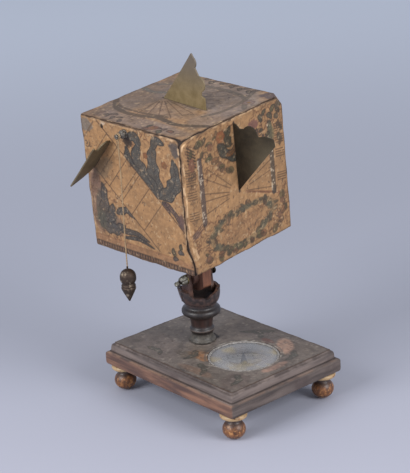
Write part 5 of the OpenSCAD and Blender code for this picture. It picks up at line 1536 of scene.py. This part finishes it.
def gnomon(name, node, finish, stations, low, high, origin, out, across, bend):
    """One plate: the block's frame carries its place and its two directions."""
    def bow(x, y):
        bent = 0.5 * bend * np.sin(np.clip(x / max(stations), 0, 1) * np.pi * 0.9)
        return bent + 0.25 * (cloud(x, y, 9, 5) - 0.5)
    points, faces = blade(stations, low, high, PLATE_T, 0.14, np.array(origin, float), out, across, bow, 26)
    piece(name, node, "block", (on_block(points), faces), finish, 30)


def plate_finish(name, low, high, roughness, tip):
    """Sheet brass with file marks, an olive tarnish and a few bright scratches."""
    made = Finish(name, Metallic=0.4)
    patch = made.noise(7, 4, 0.65)
    fine = made.noise(0.5, 3, 0.6, stretch=(0.3, 0.3, 2))
    spots = made.noise(1.4, 4, 0.7).between(0.62, 0.72)
    north_by, up = made.along("X"), made.height()
    # The plates are painted lighter over their far parts and darker at their roots against the block: painted
    # light and shade.
    far = north_by.between(26, 46) * (1 - up.between(140, 160)) + up.between(170, 196)
    far = far + 0.6 * (1 - north_by.between(-34, -22)) * up.between(112, 128)
    made.set("Base Color", made.layered(
        low, (patch.between(0.3, 0.7), high), (far, tip), (spots * 0.5, (58, 52, 40)),
        (fine.between(0.7, 0.8) * 0.25, (196, 182, 150))))
    made.set("Roughness", roughness + 0.18 * fine)
    made.relief(made.noise(1.6, 4, 0.6) + fine * 0.4, 0.08)
    return made


dark_brass_plate = plate_finish("dark_plate", (44, 36, 24), (66, 56, 40), 0.5, (108, 98, 76))
# The east and west plates take a lighter copy of the brass: painted light that lifts them out of their shade.
lit_side_plate_brass = plate_finish("lit_side_plate", (80, 68, 48), (116, 102, 76), 0.45, (120, 106, 80))
bright_brass = plate_finish("bright_plate", (128, 111, 76), (150, 132, 97), 0.46, (120, 110, 98))

TOP_TIP, TOP_START, TOP_FOOT, TOP_Y = 30.3, -15.4, 34.4, 2.5
tip_x = TOP_TIP / math.tan(LATITUDE)
back_edge = np.array([(TOP_FOOT, -TANG), (TOP_FOOT, 0), (TOP_FOOT - 0.4, 6.7), (TOP_FOOT - 3.2, 7.7),
                      *arc(TOP_FOOT - 4.1, 14, 4.3, 4.3, -72, 88, 14),
                      *arc(tip_x - 0.6, TOP_TIP - 5, 3.7, 3.7, -48, 55, 10), (tip_x + 0.5, TOP_TIP)])
up_plate = np.concatenate([[-TANG], np.linspace(0.02, TOP_TIP - 0.05, 60)])
front_x = np.maximum(up_plate, 0) / math.tan(LATITUDE)
back_x = np.interp(up_plate, np.maximum.accumulate(back_edge[:, 1]), back_edge[:, 0])
turn_c, turn_s = math.cos(math.radians(-4)), math.sin(math.radians(-4))
gnomon("gnomon_top_plate", "gnomon_top", bright_brass, up_plate, front_x, back_x,
       (TOP_START, TOP_Y, MID + 0.05), (0, 0, 1), (turn_c, turn_s, 0), 1.2)

NORTH_TIP, NORTH_ROOT, NORTH_FOOT = 24.4, 38.3, -3.7
tip_h = NORTH_TIP * math.tan(LATITUDE)
crest = np.array([(-TANG, NORTH_ROOT - 3), (-0.05, NORTH_ROOT - 3), (0, NORTH_ROOT),
                  (2, NORTH_ROOT - 0.3), (4, NORTH_ROOT - 2.6),
                  *arc(10.4, NORTH_ROOT - 4.4, 4.2, 4.2, 150, 0, 16), (NORTH_TIP - 9, tip_h + 4.5),
                  *arc(NORTH_TIP - 5, tip_h + 2.4, 2.9, 2.9, 115, 60, 6),
                  *arc(NORTH_TIP - 1.2, tip_h + 3, 1.2, 1.2, 70, 0, 5), (NORTH_TIP, tip_h + 0.6)])
out_plate = np.concatenate([[-TANG, -0.04], np.linspace(0, NORTH_TIP, 58)])
crest_at = np.interp(out_plate, np.maximum.accumulate(crest[:, 0]), crest[:, 1])
lower_at = np.where(out_plate < 0, 3, out_plate * math.tan(LATITUDE))
for side, node in ((1, "gnomon_north"), (-1, "gnomon_south")):
    c, s = math.cos(math.radians(12)), math.sin(math.radians(12))
    gnomon(f"{node}_plate", node, dark_brass_plate, out_plate, lower_at, crest_at,
           (side * (MID + 0.05), 0, side * NORTH_FOOT), (side * c, s, 0), (0, 0, side), side * 1.4)

SIDE_ROOT, SIDE_REACH, SIDE_X, SIDE_Z = 23.2, 11.8, -31.7, 9.1
scroll = np.array([(SIDE_ROOT - 3, -TANG), (SIDE_ROOT, 0), *arc(SIDE_ROOT - 1.8, 3.4, 4.2, 4.2, 0, 68, 8),
                   *arc(SIDE_ROOT - 0.6, SIDE_REACH - 3.8, 2.9, 2.9, 200, 95, 9),
                   (SIDE_ROOT - 0.8, SIDE_REACH - 0.2), (SIDE_ROOT - 1.6, SIDE_REACH + 0.2)])
reach_out = np.concatenate([[-TANG], np.linspace(0, SIDE_REACH + 0.1, 34)])
far_end = np.interp(reach_out, np.maximum.accumulate(scroll[:, 1]), scroll[:, 0])
near_end = np.where(reach_out < 0, 3, -np.maximum(reach_out, 0) * 11.2 / (SIDE_REACH - 1))
c, s = math.cos(LATITUDE), math.sin(LATITUDE)
for side, node in ((-1, "gnomon_east"), (1, "gnomon_west")):
    gnomon(f"{node}_plate", node, lit_side_plate_brass, reach_out, near_end, far_end,
           (SIDE_X, side * (MID + 0.05), SIDE_Z), (0, side, 0), (c, 0, s), side * 0.8)

# The peg. Turned brass gone grey, driven into the east face: two beads against the paper, and a groove
# near its outer end that the thread hangs in.
peg_brass = metal("peg_brass", (50, 44, 40), (146, 138, 126), 0.32, 0.6, 0.8, depth=0.1)
PEG_X, PEG_Z, PEG_OUT, GROOVE_R = -4, 33.5, 7, 0.9
peg_profile = eased([
    (0, -0.6), (2.2, -0.6), (2.45, 0.2), (2.5, 0.9), (2.2, 1.3), (1.9, 1.5), (2.3, 1.8), (2.45, 2.4),
    (2.2, 3.0), (1.6, 3.5), (1.3, 4.2), (GROOVE_R, 4.6), (GROOVE_R, PEG_OUT - 0.9), (1.3, PEG_OUT - 0.7),
    (1.4, PEG_OUT - 0.4), (1.0, PEG_OUT), (0, PEG_OUT)], 0.2, 1)
peg_points, peg_faces = turned(peg_profile, 32)
px, py, pz = peg_points.T
piece("peg_turned", "plumb_peg", "block",
      (on_block(np.column_stack([PEG_X + px, -MID - pz, PEG_Z + py])), peg_faces), peg_brass, 40)
